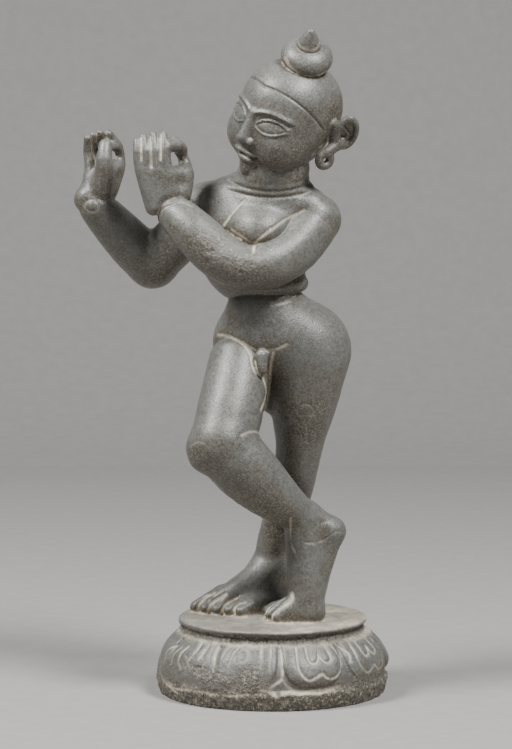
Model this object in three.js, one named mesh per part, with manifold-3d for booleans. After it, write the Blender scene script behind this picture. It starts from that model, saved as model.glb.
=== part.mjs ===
// A standing flute player carved with its round lotus plinth from one block of dark stone.
// Millimetres, +Z up, the figure's chest faces -Y, origin at the centre of the plinth's underside.
// The carving is described as a distance field: rounded limbs, ovals and grooves that flow into
// each other. The field's zero surface is read off on a grid, and then flat stretches give up
// their spare triangles, so that the triangles stay where the carving is fine.
import * as THREE from "three";
import { edgeTable, triTable } from "three/addons/objects/MarchingCubes.js";
import { mergeVertices } from "three/addons/utils/BufferGeometryUtils.js";
import Module from "manifold-3d";

// Plinth, from the floor up. Its bulge is drawn as shares of its widest radius and of its height.
// A hollowed neck rises from it to the thin disc that the figure stands on.
const plinthRadius = 105.8;
const bandHeight = 17;
const bulgeHeight = 57;
const plinthHeight = 68;
const discRadius = 86;
const discThickness = 3.6;
const discOverhang = 5;
const discEdgeRadius = 1.5;
const neckHollow = 7;
const bulgeOutline = [
  [0.962, 0],
  [0.99, 0.16],
  [1, 0.32],
  [0.979, 0.54],
  [0.917, 0.77],
  [0.799, 1],
];

// Lotus petals, cut back into the bulge above the band. Their lobes are drawn in petal widths.
const petalCount = 10;
const petalTurn = THREE.MathUtils.degToRad(42);
const petalGap = 4;
const petalDepth = 3.8;
const petalRoundEdge = 6.5;
const petalLobes = [
  { offset: 0.34, belowTop: 0.53, radius: 0.35, depth: 1.6 },
  { offset: 0.18, belowTop: 0.2, radius: 0.19, depth: 1.3 },
];

// The figure's height over the plinth, to the tip of the topknot. Everything about the figure
// below is written for the drawn height, from the plinth's top up, and grows with the real one.
const drawnHeight = 532;
const figureHeight = 532;

// Bore left free in both hands for a flute
const fluteRadius = 4.2;
const fluteInLeftHand = [-78.5, -38, 417];
const fluteInRightHand = [-138, -38.5, 420];

// Carved lines and creases
const lineWidth = 1.4;
const creaseWidth = 2.2;

// Limbs as stations along their middle lines: x, y, z, radius
const shoulderGirdle = [
  [-64.5, 2, 370.5, 20.5],
  [-34, -2, 381, 20],
  [-1, 2, 382.5, 21],
  [25, 5, 375.5, 20.5],
  [39.5, 6, 362.5, 22],
];
const leftUpperArm = [
  [39, 8, 362, 23.5],
  [26.5, -13.5, 338.5, 23.6],
  [10.5, -34.5, 324.5, 22.5],
  [-6, -47, 322.5, 21],
];
const leftForearm = [
  [-6, -47, 322.5, 21],
  [-28.5, -53, 329.5, 21.5],
  [-52.5, -55, 350.5, 20.5],
  [-76.5, -49, 370, 16.2],
];
const rightUpperArm = [
  [-64.5, 2, 370.5, 22.5],
  [-92, 7, 343.5, 22.5],
  [-119, 8, 319, 22.5],
];
const rightForearm = [
  [-119, 8, 319, 22.5],
  [-130.5, -2.5, 331.5, 22],
  [-142.5, -20, 350.5, 20],
  [-155, -40.5, 373, 16.2],
];
const leftLeg = [
  [26.5, 22.5, 240.5, 38],
  [24.5, 21.5, 215, 34],
  [22.5, 21, 192, 29.5],
  [20, 22, 171.5, 24.5],
  [18, 23.5, 155, 21.5],
  [13.5, 27, 134, 20],
  [6, 33, 110, 19.5],
  [-5, 38.5, 83, 17],
  [-14.5, 42.5, 56.5, 15.5],
  [-17, 45, 38.5, 15.5],
];
const rightThigh = [
  [-27, -12, 231, 28.3],
  [-26, -27.5, 209, 29.2],
  [-26, -41.5, 187.5, 29.5],
  [-28, -55, 164, 28.5],
];
const rightShin = [
  [-28, -55, 164, 28.5],
  [-12, -46, 142.5, 28.5],
  [2.5, -34, 124.5, 25.5],
  [13.5, -24, 112, 21.5],
  [23.5, -11.5, 100, 17.5],
  [30.5, -1.5, 91, 16.5],
];

// Head: the point between the ears, where the face looks, and which way its crown points
const headCentre = new THREE.Vector3(15, -5, 455.5);
const headFacing = new THREE.Vector3(-0.44, -0.89, -0.11);
const headUp = new THREE.Vector3(0.27, -0.25, 0.93);
const bunCentre = new THREE.Vector3(38, -15, 507.5);
const bunAxis = new THREE.Vector3(0.32, -0.52, 0.79).normalize();

// The hands are nodes of their own, so that each gets collision pieces fine enough to leave the
// loop between its finger and thumb open. A thin saw cut at the wrist parts them from the rest.
const sawCut = 0.3;
const hands = [
  { name: "left_hand", low: [-121, -88, 379], high: [-60.5, -23, 460] },
  { name: "right_hand", low: [-186, -86, 378], high: [-121, -8, 460] },
];

// Grid step of the field, the triangles that the finished surface keeps, and how far the field
// runs on below the floor before it is cut off
const gridStep = 1.8;
const triangleLimit = 10700;
const floorCut = 4;

const { clamp, lerp, smoothstep } = THREE.MathUtils;
const X = new THREE.Vector3(1, 0, 0);
const Y = new THREE.Vector3(0, 1, 0);
const Z = new THREE.Vector3(0, 0, 1);
const vector = ([x, y, z]) => new THREE.Vector3(x, y, z);
const bell = (value, width) => Math.exp(-((value / width) ** 2));

// Distances are functions of x, y and z, negative inside the stone.

function softMin(a, b, width) {
  const overlap = Math.max(width - Math.abs(a - b), 0);
  return Math.min(a, b) - (overlap * overlap) / (4 * width);
}

// Two shapes that meet in a carved crease
function creased(a, b, softness, depth, width = creaseWidth) {
  return softMin(a, b, softness) + depth * bell(a - b, width);
}

// A rounded cone between two balls
function roundCone([ax, ay, az], [bx, by, bz], ra, rb) {
  const dx = bx - ax;
  const dy = by - ay;
  const dz = bz - az;
  const length2 = dx * dx + dy * dy + dz * dz;
  const taper = ra - rb;
  const side2 = length2 - taper * taper;
  return (x, y, z) => {
    const px = x - ax;
    const py = y - ay;
    const pz = z - az;
    const along = px * dx + py * dy + pz * dz;
    const beyond = along - length2;
    const qx = px * length2 - dx * along;
    const qy = py * length2 - dy * along;
    const qz = pz * length2 - dz * along;
    const across2 = qx * qx + qy * qy + qz * qz;
    const slope = Math.sign(taper) * taper * taper * across2;
    if (Math.sign(beyond) * side2 * beyond * beyond * length2 > slope) {
      return Math.sqrt(across2 + beyond * beyond * length2) / length2 - rb;
    }
    if (Math.sign(along) * side2 * along * along * length2 < slope) {
      return Math.sqrt(across2 + along * along * length2) / length2 - ra;
    }
    return (Math.sqrt((across2 * side2) / length2) + along * taper) / length2 - ra;
  };
}

// Far from a shape, the distance to the ball around it is near enough, and quick to work out.
function within(centre, reach, distance) {
  const margin = 14;
  const { x: cx, y: cy, z: cz } = centre;
  return (x, y, z) => {
    const gap = Math.hypot(x - cx, y - cy, z - cz) - reach;
    return gap > margin ? gap : distance(x, y, z);
  };
}

// A limb whose radius and middle line run smoothly through its stations
function limb(stations, stepsBetween = 3) {
  const places = new THREE.CatmullRomCurve3(stations.map(vector), false, "catmullrom", 0.5);
  const radii = new THREE.CatmullRomCurve3(
    stations.map((station) => new THREE.Vector3(station[3], 0, 0)),
    false,
    "catmullrom",
    0.5,
  );
  const steps = (stations.length - 1) * stepsBetween;
  const points = places.getPoints(steps);
  const widths = radii.getPoints(steps).map((point) => point.x);
  const cones = [];
  for (let i = 0; i < steps; i++) {
    cones.push(roundCone(points[i].toArray(), points[i + 1].toArray(), widths[i], widths[i + 1]));
  }
  const box = new THREE.Box3().setFromPoints(points);
  const centre = box.getCenter(new THREE.Vector3());
  const reach = Math.max(...points.map((point, i) => point.distanceTo(centre) + widths[i]));
  return within(centre, reach, (x, y, z) => {
    let nearest = Infinity;
    for (const cone of cones) nearest = Math.min(nearest, cone(x, y, z));
    return nearest;
  });
}

// An oval with its own axes: left, forward, up
function oval(centre, [rl, rf, ru], axes = [X, Y, Z]) {
  const [l, f, u] = axes;
  const { x: cx, y: cy, z: cz } = Array.isArray(centre) ? vector(centre) : centre;
  return (x, y, z) => {
    const px = x - cx;
    const py = y - cy;
    const pz = z - cz;
    const a = (px * l.x + py * l.y + pz * l.z) / rl;
    const b = (px * f.x + py * f.y + pz * f.z) / rf;
    const c = (px * u.x + py * u.y + pz * u.z) / ru;
    const scaled = Math.hypot(a, b, c);
    const steepness = Math.hypot(a / rl, b / rf, c / ru);
    return (scaled * (scaled - 1)) / Math.max(steepness, 1e-6);
  };
}

// Left, forward and up axes of something that faces one way and points another way up
function facingAxes(facing, pointing) {
  const up = pointing.clone().normalize();
  const forward = facing.clone().addScaledVector(up, -facing.dot(up)).normalize();
  const left = new THREE.Vector3().crossVectors(up, forward);
  return [left, forward, up];
}

const between = (a, b, share) => a.map((value, i) => lerp(value, b[i], share));

// Torso, neck and arms

function makeTorso() {
  const ribs = oval([-17, -2, 342.5], [54, 38, 59]);
  const breast = oval([-3, -26.5, 350.5], [26, 24, 23]);
  const belly = oval([-4.5, 3.5, 299], [36.5, 33, 14.5], facingAxes(Y, new THREE.Vector3(-0.17, 0, 0.98)));
  const girdle = limb(shoulderGirdle, 2);
  return within(new THREE.Vector3(-8, 0, 347), 105, (x, y, z) => {
    let distance = softMin(ribs(x, y, z), girdle(x, y, z), 13);
    distance = softMin(distance, breast(x, y, z), 12);
    return softMin(distance, belly(x, y, z), 7);
  });
}

// Two soft folds run round the neck, and a third is only hinted at.
function addNeck(torso) {
  const neck = limb([[-3, 3, 385, 34.5], [6.5, -6, 415, 30]], 1);
  const foldNormal = new THREE.Vector3(0.096, -0.263, 0.96).normalize();
  const lowestFold = foldNormal.dot(new THREE.Vector3(12.5, -36, 380.5));
  const folds = [[0, 1.3], [5.7, 1.2], [11.5, 0.7]];
  return (x, y, z) => {
    const toNeck = neck(x, y, z);
    const nearNeck = bell(toNeck, 9);
    const height = foldNormal.x * x + foldNormal.y * y + foldNormal.z * z - lowestFold;
    let distance = softMin(torso(x, y, z), toNeck, 7);
    for (const [offset, depth] of folds) distance += depth * bell(height - offset, 1.5) * nearNeck;
    return distance;
  };
}

// The left arm is creased where it bends, above the elbow.
function makeLeftArm() {
  const upper = limb(leftUpperArm);
  const lower = limb(leftForearm);
  return (x, y, z) => {
    const a = upper(x, y, z);
    const b = lower(x, y, z);
    return softMin(a, b, 3) + 2.4 * bell(a - b, creaseWidth) * smoothstep(z, 329, 338);
  };
}

function makeRightArm() {
  const upper = limb(rightUpperArm);
  const lower = limb(rightForearm);
  return (x, y, z) => softMin(upper(x, y, z), lower(x, y, z), 5);
}

// Rays side by side, each from the wrist over the knuckle to the fingertip: one palm below the
// knuckles, and separate fingers with a crease between them above
function makeRays(rays, knuckleHeight) {
  const fingers = rays.map((stations) => limb(stations, 2));
  return (x, y, z) => {
    const apart = smoothstep(z, knuckleHeight - 9, knuckleHeight);
    let distance = fingers[0](x, y, z);
    for (const finger of fingers.slice(1)) {
      distance = creased(distance, finger(x, y, z), lerp(6, 0.6, apart), 0.7 * apart, 0.9);
    }
    return distance;
  };
}

// Rays spread evenly from a first to a last one, with the fingertips raised one by one
function spreadRays(first, last, tipLift) {
  return tipLift.map((lift, i) => {
    const share = i / (tipLift.length - 1);
    const stations = first.map((station, k) => between(station, last[k], share));
    stations.at(-1)[2] += lift;
    return stations;
  });
}

// The back of the left hand shows. Its thumb comes up to the first finger round the flute.
function makeLeftHand() {
  const littleFinger = [[-92, -56, 374.5, 8.6], [-99.5, -64, 407, 6], [-101, -66.5, 423, 5.2],
    [-104, -63.5, 432, 3.8]];
  const firstFinger = [[-75.5, -50, 374.5, 8.6], [-78, -56, 407, 6.6], [-79, -57.5, 424.5, 5.8],
    [-82, -52, 437.5, 4.6]];
  const rays = makeRays(spreadRays(littleFinger, firstFinger, [0, 0.9, 1.3, 0]), 408);
  const thumb = limb([[-73, -43.5, 378, 9.5], [-71, -37.5, 396.5, 9], [-72, -30.5, 408.5, 6],
    [-74.5, -30.5, 418, 4.2], [-77, -35.5, 426.5, 5.2], [-78.5, -42, 432.5, 4.8]], 2);
  const palm = limb([[-80, -53, 400, 7], [-72.5, -37, 400, 9]], 1);
  return within(new THREE.Vector3(-86, -46, 406), 52, (x, y, z) =>
    softMin(softMin(rays(x, y, z), palm(x, y, z), 5), thumb(x, y, z), 4));
}

// The palm of the right hand shows, with a raised ring round the heel of the hand.
function makeRightHand() {
  const littleFinger = [[-162, -42, 378, 9.5], [-161.5, -35.5, 405, 6], [-165, -33.5, 420.5, 4.8],
    [-163.5, -38.5, 433.5, 3.5]];
  const middleFinger = [[-152, -38, 378, 9], [-148, -28, 404.5, 6.4], [-155, -26.5, 423, 5.2],
    [-154.5, -32.5, 437.5, 4.1]];
  const firstFinger = [[-147.5, -36.5, 378, 8.5], [-140, -25.5, 404, 6.4], [-137, -24.5, 414.5, 4.2],
    [-138.5, -28, 426, 4.8], [-143, -39, 437.5, 4.4]];
  const rays = makeRays([...spreadRays(littleFinger, middleFinger, [0, 0.6, 0]), firstFinger], 406);
  const thumb = limb([[-148, -44.5, 385.5, 9.5], [-142.5, -48.5, 400.5, 8], [-141, -51.5, 415, 6.6],
    [-142.5, -46.5, 427.5, 5.6]], 2);
  const heel = oval([-161, -43.5, 378.5], [13.2, 12, 13]);
  const palm = limb([[-152, -38, 388, 11], [-145, -40, 404, 9.5], [-140, -31, 408, 7]], 1);
  const tipsTouching = limb([[-141, -45, 426.5, 4.4], [-138.8, -31, 426.5, 4.2]], 1);
  const ring = ringAt(new THREE.Vector3(-157, -47.5, 373), new THREE.Vector3(-0.2, -0.5, 0.84), 10, 2.2);
  return within(new THREE.Vector3(-151, -38, 402), 52, (x, y, z) => {
    let distance = softMin(rays(x, y, z), heel(x, y, z), 5);
    distance = softMin(distance, palm(x, y, z), 6);
    distance = softMin(distance, Math.min(thumb(x, y, z), tipsTouching(x, y, z)), 4);
    return softMin(distance, ring(x, y, z), 1.2);
  });
}

// A round bar bent into a ring
function ringAt(centre, direction, radius, barRadius) {
  const axis = direction.clone().normalize();
  return (x, y, z) => {
    const px = x - centre.x;
    const py = y - centre.y;
    const pz = z - centre.z;
    const height = px * axis.x + py * axis.y + pz * axis.z;
    const out = Math.sqrt(Math.max(px * px + py * py + pz * pz - height * height, 0));
    return Math.hypot(out - radius, height) - barRadius;
  };
}

// Hips and legs

function makeHips() {
  const middle = oval([-3, 7.5, 257], [47, 36, 36]);
  const waist = limb([[-7.5, 3.5, 283, 35], [0.5, 8.5, 261, 38]], 1);
  const leftHip = oval([23, 23, 244], [39.5, 38, 42]);
  const rightHip = oval([-25.5, 12, 246], [33, 36, 36]);
  const betweenThighs = limb([[-4, 0.5, 236, 9], [-6, 8.5, 193, 7]], 1);
  return within(new THREE.Vector3(0, 10, 250), 98, (x, y, z) => {
    let distance = softMin(middle(x, y, z), waist(x, y, z), 8);
    distance = softMin(distance, leftHip(x, y, z), 12);
    distance = softMin(distance, rightHip(x, y, z), 14);
    return softMin(distance, betweenThighs(x, y, z), 5);
  });
}

// The right thigh crosses in front, and a crease parts it from the belly.
function makeHipsAndLegs() {
  const hips = makeHips();
  const standing = limb(leftLeg);
  const thigh = limb(rightThigh);
  const shin = limb(rightShin);
  const kneecap = limb([[-42.5, -64.5, 158, 13], [-41, -64, 152.5, 13]], 1);
  const loinBoss = limb([[1.5, -31.5, 241, 6], [2.5, -33, 228.5, 4.5]], 1);
  return (x, y, z) => {
    const still = softMin(hips(x, y, z), standing(x, y, z), 9);
    const crossed = softMin(softMin(thigh(x, y, z), shin(x, y, z), 5), kneecap(x, y, z), 10);
    return softMin(creased(still, crossed, 4, 1.4), loinBoss(x, y, z), 2);
  };
}

// Toes from the big one to the little one, each from its root over the joint to its tip
function makeToes(bigToe, secondToe, littleToe) {
  const toes = [bigToe];
  for (let i = 0; i < 4; i++) {
    toes.push(secondToe.map((station, k) => between(station, littleToe[k], i / 3)));
  }
  const shapes = toes.map((stations) => limb(stations, 1));
  return (x, y, z) => {
    let distance = shapes[0](x, y, z);
    for (const toe of shapes.slice(1)) distance = creased(distance, toe(x, y, z), 0.8, 0.7, 1);
    return distance;
  };
}

// The right foot stands on tiptoe, with its heel up behind.
function makeRightFoot() {
  const parts = [
    limb([[30.5, -1.5, 91, 16.5], [53, 10.5, 79, 12.2]], 1),
    limb([[30.5, -1.5, 91, 16.5], [32.5, -3, 67.5, 17.5], [36, -6, 43.5, 17.5], [36.5, -10, 22, 16.5],
      [39.5, -11, 8.5, 14]], 2),
    limb([[52, 10.5, 78.5, 12.5], [34, 1.5, 23.5, 15]], 1),
    limb([[33, 1.5, 42, 16], [28, 10.5, 8.5, 14]], 1),
    limb([[39.5, -11, 8.5, 12], [25.5, -22.5, 5, 8]], 1),
  ];
  const toes = makeToes(
    [[32, -17, 19.5, 9], [24, -24.5, 11.5, 8], [16, -29.5, 4.5, 6.2]],
    [[21, -8, 17, 5.6], [13, -14.5, 11.5, 5.2], [5, -19.5, 5, 4.6]],
    [[6, 15, 9, 4.8], [-2.5, 12, 7, 4.5], [-7, 8.5, 4, 4]],
  );
  return within(new THREE.Vector3(28, -2, 47), 66, (x, y, z) => {
    const foot = parts.reduce((distance, part) => softMin(distance, part(x, y, z), 7), Infinity);
    return softMin(foot, toes(x, y, z), 3);
  });
}

// The left foot stands flat and turned in, its heel behind the right foot.
function makeLeftFoot() {
  const parts = [
    limb([[-17, 45, 38.5, 15.5], [-11, 58, 16, 15]], 1),
    limb([[-17, 44, 42.5, 16], [-26, 31, 27, 16], [-40, 13, 17, 13], [-53.5, 2, 11.5, 9]], 2),
    limb([[-10.5, 53.5, 15, 13], [-23.5, 6.5, 8.5, 8]], 1),
    limb([[-22, 34.5, 17.5, 13], [-46.5, 4.5, 9.5, 8.5]], 1),
  ];
  const toes = makeToes(
    [[-53, 11.5, 17, 7.5], [-64, 4.5, 9.5, 7], [-73, -1, 4, 6.2]],
    [[-46.5, 7.5, 13.5, 5.6], [-56, -1, 9, 5.3], [-62, -8.5, 4.5, 4.8]],
    [[-20, -1, 9, 5], [-24.5, -8, 7, 4.8], [-26, -13.5, 5, 4.2]],
  );
  return within(new THREE.Vector3(-35, 25, 20), 66, (x, y, z) => {
    const foot = parts.reduce((distance, part) => softMin(distance, part(x, y, z), 8), Infinity);
    return softMin(foot, toes(x, y, z), 3);
  });
}

// Head, in its own axes: l to the figure's left, f forward out of the face, u to the crown

// Height of the face's relief over the smooth head: sockets, lidded almond eyes, brows, mouth.
// The eyes lie halfway up the head, and the nose and the chin a third of the face further down.
function faceRelief(l, f, u) {
  const side = Math.abs(l);
  const across = clamp((side - 20.5) / 12.5, -1, 1);
  const rim = 1 - across * across;
  const upperLid = 0.8 * across + 5.4 * rim ** 0.75;
  const lowerLid = 0.8 * across - 4.2 * rim;
  const halfGap = Math.max((upperLid - lowerLid) / 2, 0.05);
  const fromMiddle = (u - (upperLid + lowerLid) / 2) / halfGap;
  const eyeball = Math.sqrt(Math.max(1 - fromMiddle * fromMiddle, 0) * rim);
  const lidEnds = smoothstep(side, 6, 9) * (1 - smoothstep(side, 33, 37));
  const browEnds = smoothstep(side, 2, 6) * (1 - smoothstep(side, 33, 38));
  const brow = 13.2 - 0.016 * (side - 18) ** 2;
  const mouth = 0.9 * Math.cos(side / 3.2) - 32.5 + 0.012 * side * side;
  let relief = -2.6 * Math.exp(-(((side - 17) / 12) ** 2) - ((u - 3) / 8.5) ** 2);
  relief += 1.9 * eyeball;
  relief += 1.5 * lidEnds * bell(u - upperLid - 1.3, lineWidth * 0.8);
  relief += 1.5 * lidEnds * bell(u - lowerLid + 1.2, lineWidth * 0.8);
  relief += 1.6 * browEnds * bell(u - brow, lineWidth);
  relief -= 1.6 * bell(u - mouth, lineWidth * 0.7) * (1 - smoothstep(side, 9.5, 12.5));
  return relief * smoothstep(f, 8, 20);
}

function makeHead() {
  const axes = facingAxes(headFacing, headUp);
  const toHead = (point) => axes.map((axis) => point.clone().sub(headCentre).dot(axis));
  const skull = oval([0, -5, 8.5], [44.2, 47.5, 43.2]);
  const jaw = oval([0, 8, -17], [40, 38, 36]);
  const chin = roundCone([0, 20, -46], [0, 32, -46.5], 15, 10.5);
  const cheek = oval([21, 24, -20], [17, 16, 17]);
  const noseBridge = roundCone([0, 43, 7], [0, 49, -14], 3, 5.2);
  const nostril = oval([4.2, 47.5, -17], [4, 4.5, 3.6]);
  const upperLip = oval([3.6, 42.2, -29], [8, 4.2, 2.9]);
  const lowerLip = oval([0, 41, -35.5], [8.2, 4.2, 3.2]);
  const ear = makeEar();
  const hairline = makeHairline();

  const bun = bunCentre.clone().sub(headCentre);
  const [bl, bf, bu] = toHead(bunCentre);
  const topknot = makeTopknot([bl, bf, bu], axes.map((axis) => axis.dot(bunAxis)));
  return within(headCentre, bun.length() + 40, (x, y, z) => {
    const px = x - headCentre.x;
    const py = y - headCentre.y;
    const pz = z - headCentre.z;
    const [l, f, u] = axes.map((axis) => px * axis.x + py * axis.y + pz * axis.z);
    const side = Math.abs(l);
    let distance = softMin(skull(side, f, u), jaw(side, f, u), 16);
    distance = softMin(distance, chin(side, f, u), 12);
    distance = softMin(distance, cheek(side, f, u), 12);
    distance = softMin(distance, noseBridge(side, f, u), 4);
    distance = softMin(distance, nostril(side, f, u), 2);
    distance = softMin(distance, upperLip(side, f, u), 1.8);
    distance = softMin(distance, lowerLip(side, f, u), 2);
    distance -= faceRelief(l, f, u);
    distance += hairline(side, f, u);
    distance = softMin(distance, ear(side, f, u), 3);
    return topknot(distance, l, f, u);
  });
}

// The hair is a smooth cap. Its incised edge falls from a peak on the forehead to the temples.
function makeHairline() {
  const peak = new THREE.Vector3(0, 38, 36);
  const temple = new THREE.Vector3(45, -2, 4);
  const behind = new THREE.Vector3(-18, -15, -26);
  const normal = new THREE.Plane().setFromCoplanarPoints(peak, temple, behind).normal;
  const level = normal.dot(peak);
  return (side, f, u) =>
    1.3 * bell(normal.x * side + normal.y * f + normal.z * u - level, lineWidth) * smoothstep(f, -6, 0);
}

// A cupped ear that stands out from the head, with a curl inside and a ring in its long lobe
function makeEar() {
  const centre = new THREE.Vector3(52, -26, 0);
  const ringCentre = new THREE.Vector3(47.5, -8.8, -25.5);
  const back = new THREE.Vector3(0.55, -0.83, 0).normalize();
  const up = new THREE.Vector3(0.1, 0.12, 0.98).normalize();
  const out = new THREE.Vector3().crossVectors(back, up);
  const place = (b, n, u) =>
    centre.clone().addScaledVector(back, b).addScaledVector(out, n).addScaledVector(up, u).toArray();
  const bowl = oval(place(0.5, 2.2, 0), [8.6, 1.8, 14.5], [back, out, up]);
  const curl = limb([[...place(-5, -0.5, 6), 1.6], [...place(2, -0.5, -2), 1.6],
    [...place(-2.5, -0.5, -9), 1.8]], 1);
  const root = roundCone(place(-11, 1, 5), place(-10, 1, -10), 4.5, 4.5);
  const lobe = roundCone(place(-4, 0, -11), [47.5, -9.8, -18.5], 5.4, 4.6);
  const earring = ringAt(ringCentre, new THREE.Vector3(1, 0.25, 0.1), 5.9, 3.6);
  return (side, f, u) => {
    const px = side - centre.x;
    const py = f - centre.y;
    const pz = u - centre.z;
    const across = (px * back.x + py * back.y + pz * back.z) / 0.62;
    const deep = px * out.x + py * out.y + pz * out.z;
    const high = px * up.x + py * up.y + pz * up.z;
    const rim = Math.hypot((Math.hypot(across, high) - 13.6) * 0.75, deep) - 2.7;
    let distance = softMin(rim, bowl(side, f, u), 2);
    distance = softMin(distance, curl(side, f, u), 1.2);
    distance = softMin(distance, root(side, f, u), 5);
    distance = softMin(distance, lobe(side, f, u), 3);
    return softMin(distance, earring(side, f, u), 2);
  };
}

// A flattened bun on a tucked-in neck, with a blunt cone and its small tip on top
function makeTopknot(centre, axis) {
  const along = (reach) => centre.map((value, i) => value + axis[i] * reach);
  const tuck = roundCone(along(-20), along(-6), 19, 15);
  const cone = roundCone(along(9), along(20), 12, 7);
  const tip = roundCone(along(20), along(27.5), 5, 2.6);
  const bunOval = oval([0, 0, 0], [23.4, 23.4, 14.2]);
  return (head, l, f, u) => {
    const p = [l - centre[0], f - centre[1], u - centre[2]];
    const height = p[0] * axis[0] + p[1] * axis[1] + p[2] * axis[2];
    const out = Math.sqrt(Math.max(p[0] ** 2 + p[1] ** 2 + p[2] ** 2 - height * height, 0));
    const neck = softMin(head, tuck(l, f, u), 4);
    const withBun = creased(neck, bunOval(out, 0, height), 1.5, 0.9, 1.6);
    return creased(withBun, softMin(cone(l, f, u), tip(l, f, u), 3), 1.5, 0.8, 1.4);
  };
}

// Plinth

// Radius of the plain bulge at a height, along a smooth curve through its outline
function makeBulgeProfile() {
  const curve = new THREE.SplineCurve(bulgeOutline.map(([outward, upward]) =>
    new THREE.Vector2(outward * plinthRadius, upward * bulgeHeight)));
  const points = curve.getPoints(60);
  return (height) => {
    const next = points.findIndex((point) => point.y >= height);
    if (next === 0) return points[0].x;
    if (next < 0) return points.at(-1).x;
    const [a, b] = [points[next - 1], points[next]];
    return lerp(a.x, b.x, (height - a.y) / (b.y - a.y));
  };
}

// How far the stone is cut back, at an arc's length from a petal's middle line and at a height.
// A petal is a rounded shield that hangs from the bulge's top edge down to the band.
function makePetalCut(pitchLength) {
  const halfWidth = (pitchLength - petalGap) / 2;
  const length = bulgeHeight - bandHeight - petalGap;
  const roundness = 3.2;
  const fullness = 26;
  return (arc, height) => {
    const belowTop = Math.max(bulgeHeight - height, 0);
    const reach = ((arc / halfWidth) ** roundness + (belowTop / length) ** roundness) ** (1 / roundness);
    const inside = (1 - reach) * fullness;
    const rim = clamp(inside / petalRoundEdge, 0, 1);
    const dome = Math.sqrt(1 - (1 - rim) ** 2);
    const band = 1 - smoothstep(height, bandHeight - 3, bandHeight + 1.5);
    let cut = petalDepth * (1 - Math.max(dome, band));
    for (const lobe of petalLobes) {
      const across = arc - lobe.offset * halfWidth;
      const over = lobe.belowTop * halfWidth - belowTop;
      const radius = lobe.radius * halfWidth;
      const line = Math.min(Math.hypot(across, over) - radius, Math.max(across - radius, -over));
      cut += lobe.depth * bell(line, lineWidth) * smoothstep(inside, 1, 4);
    }
    return cut;
  };
}

function makePlinth() {
  const bulgeRadius = makeBulgeProfile();
  const pitch = (2 * Math.PI) / petalCount;
  const petalCut = makePetalCut(pitch * plinthRadius);
  const discMiddle = plinthHeight - discThickness / 2;
  const neckHeight = discMiddle - bulgeHeight;
  return (x, y, z) => {
    const radius = Math.hypot(x, y);
    const turn = (Math.atan2(x, -y) - petalTurn) / pitch;
    const arc = Math.abs(turn - Math.round(turn)) * pitch * plinthRadius;
    const side = (radius - bulgeRadius(z) + petalCut(arc, z)) * 0.8;
    const bulge = Math.max(side, z - bulgeHeight, -floorCut - z);
    const neck = Math.max(Math.abs(z - bulgeHeight) - neckHeight, radius - discRadius + discOverhang);
    const edgeOut = radius - discRadius + discEdgeRadius;
    const edgeUp = Math.abs(z - discMiddle) - discThickness / 2 + discEdgeRadius;
    const disc = Math.hypot(Math.max(edgeOut, 0), Math.max(edgeUp, 0))
      + Math.min(Math.max(edgeOut, edgeUp), 0) - discEdgeRadius;
    return softMin(softMin(bulge, neck, neckHollow), disc, 1);
  };
}

// The whole carving

function makeFigure() {
  const torso = addNeck(makeTorso());
  const head = makeHead();
  const rightArm = makeRightArm();
  const leftArm = makeLeftArm();
  const hipsAndLegs = makeHipsAndLegs();
  const rightFoot = makeRightFoot();
  const leftFoot = makeLeftFoot();
  const rightHand = makeRightHand();
  const leftHand = makeLeftHand();
  const flute = roundCone(fluteInLeftHand, fluteInRightHand, fluteRadius, fluteRadius);
  return (x, y, z) => {
    let distance = creased(torso(x, y, z), head(x, y, z), 2, 0.8);
    distance = softMin(distance, rightArm(x, y, z), 7);
    distance = creased(distance, leftArm(x, y, z), 4, 1.8);
    distance = creased(distance, hipsAndLegs(x, y, z), 3, 1.6);
    distance = softMin(distance, Math.min(rightFoot(x, y, z), leftFoot(x, y, z)), 3);
    distance = creased(distance, Math.min(rightHand(x, y, z), leftHand(x, y, z)), 2.5, 1);
    return Math.max(distance, -flute(x, y, z));
  };
}

// The figure stands on the plinth's disc, and sinks into it a little way so that they are one.
const figureScale = figureHeight / drawnHeight;
const toFigure = (point) =>
  point.clone().sub(new THREE.Vector3(0, 0, plinthHeight)).divideScalar(figureScale);
const fromFigure = (point) =>
  point.clone().multiplyScalar(figureScale).add(new THREE.Vector3(0, 0, plinthHeight));

function makeCarving() {
  const figure = makeFigure();
  const plinth = makePlinth();
  return (x, y, z) => {
    const above = (z - plinthHeight) / figureScale;
    const standing = figureScale * figure(x / figureScale, y / figureScale, above);
    return softMin(standing, plinth(x, y, z), 2);
  };
}

// Reading the surface off the field

// Corners of a grid cell, and the corners that each of its edges runs between
const cellCorners = [
  [0, 0, 0], [1, 0, 0], [1, 1, 0], [0, 1, 0],
  [0, 0, 1], [1, 0, 1], [1, 1, 1], [0, 1, 1],
];
const cellEdges = [
  [0, 1], [1, 2], [3, 2], [0, 3],
  [4, 5], [5, 6], [7, 6], [4, 7],
  [0, 4], [1, 5], [2, 6], [3, 7],
];

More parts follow.
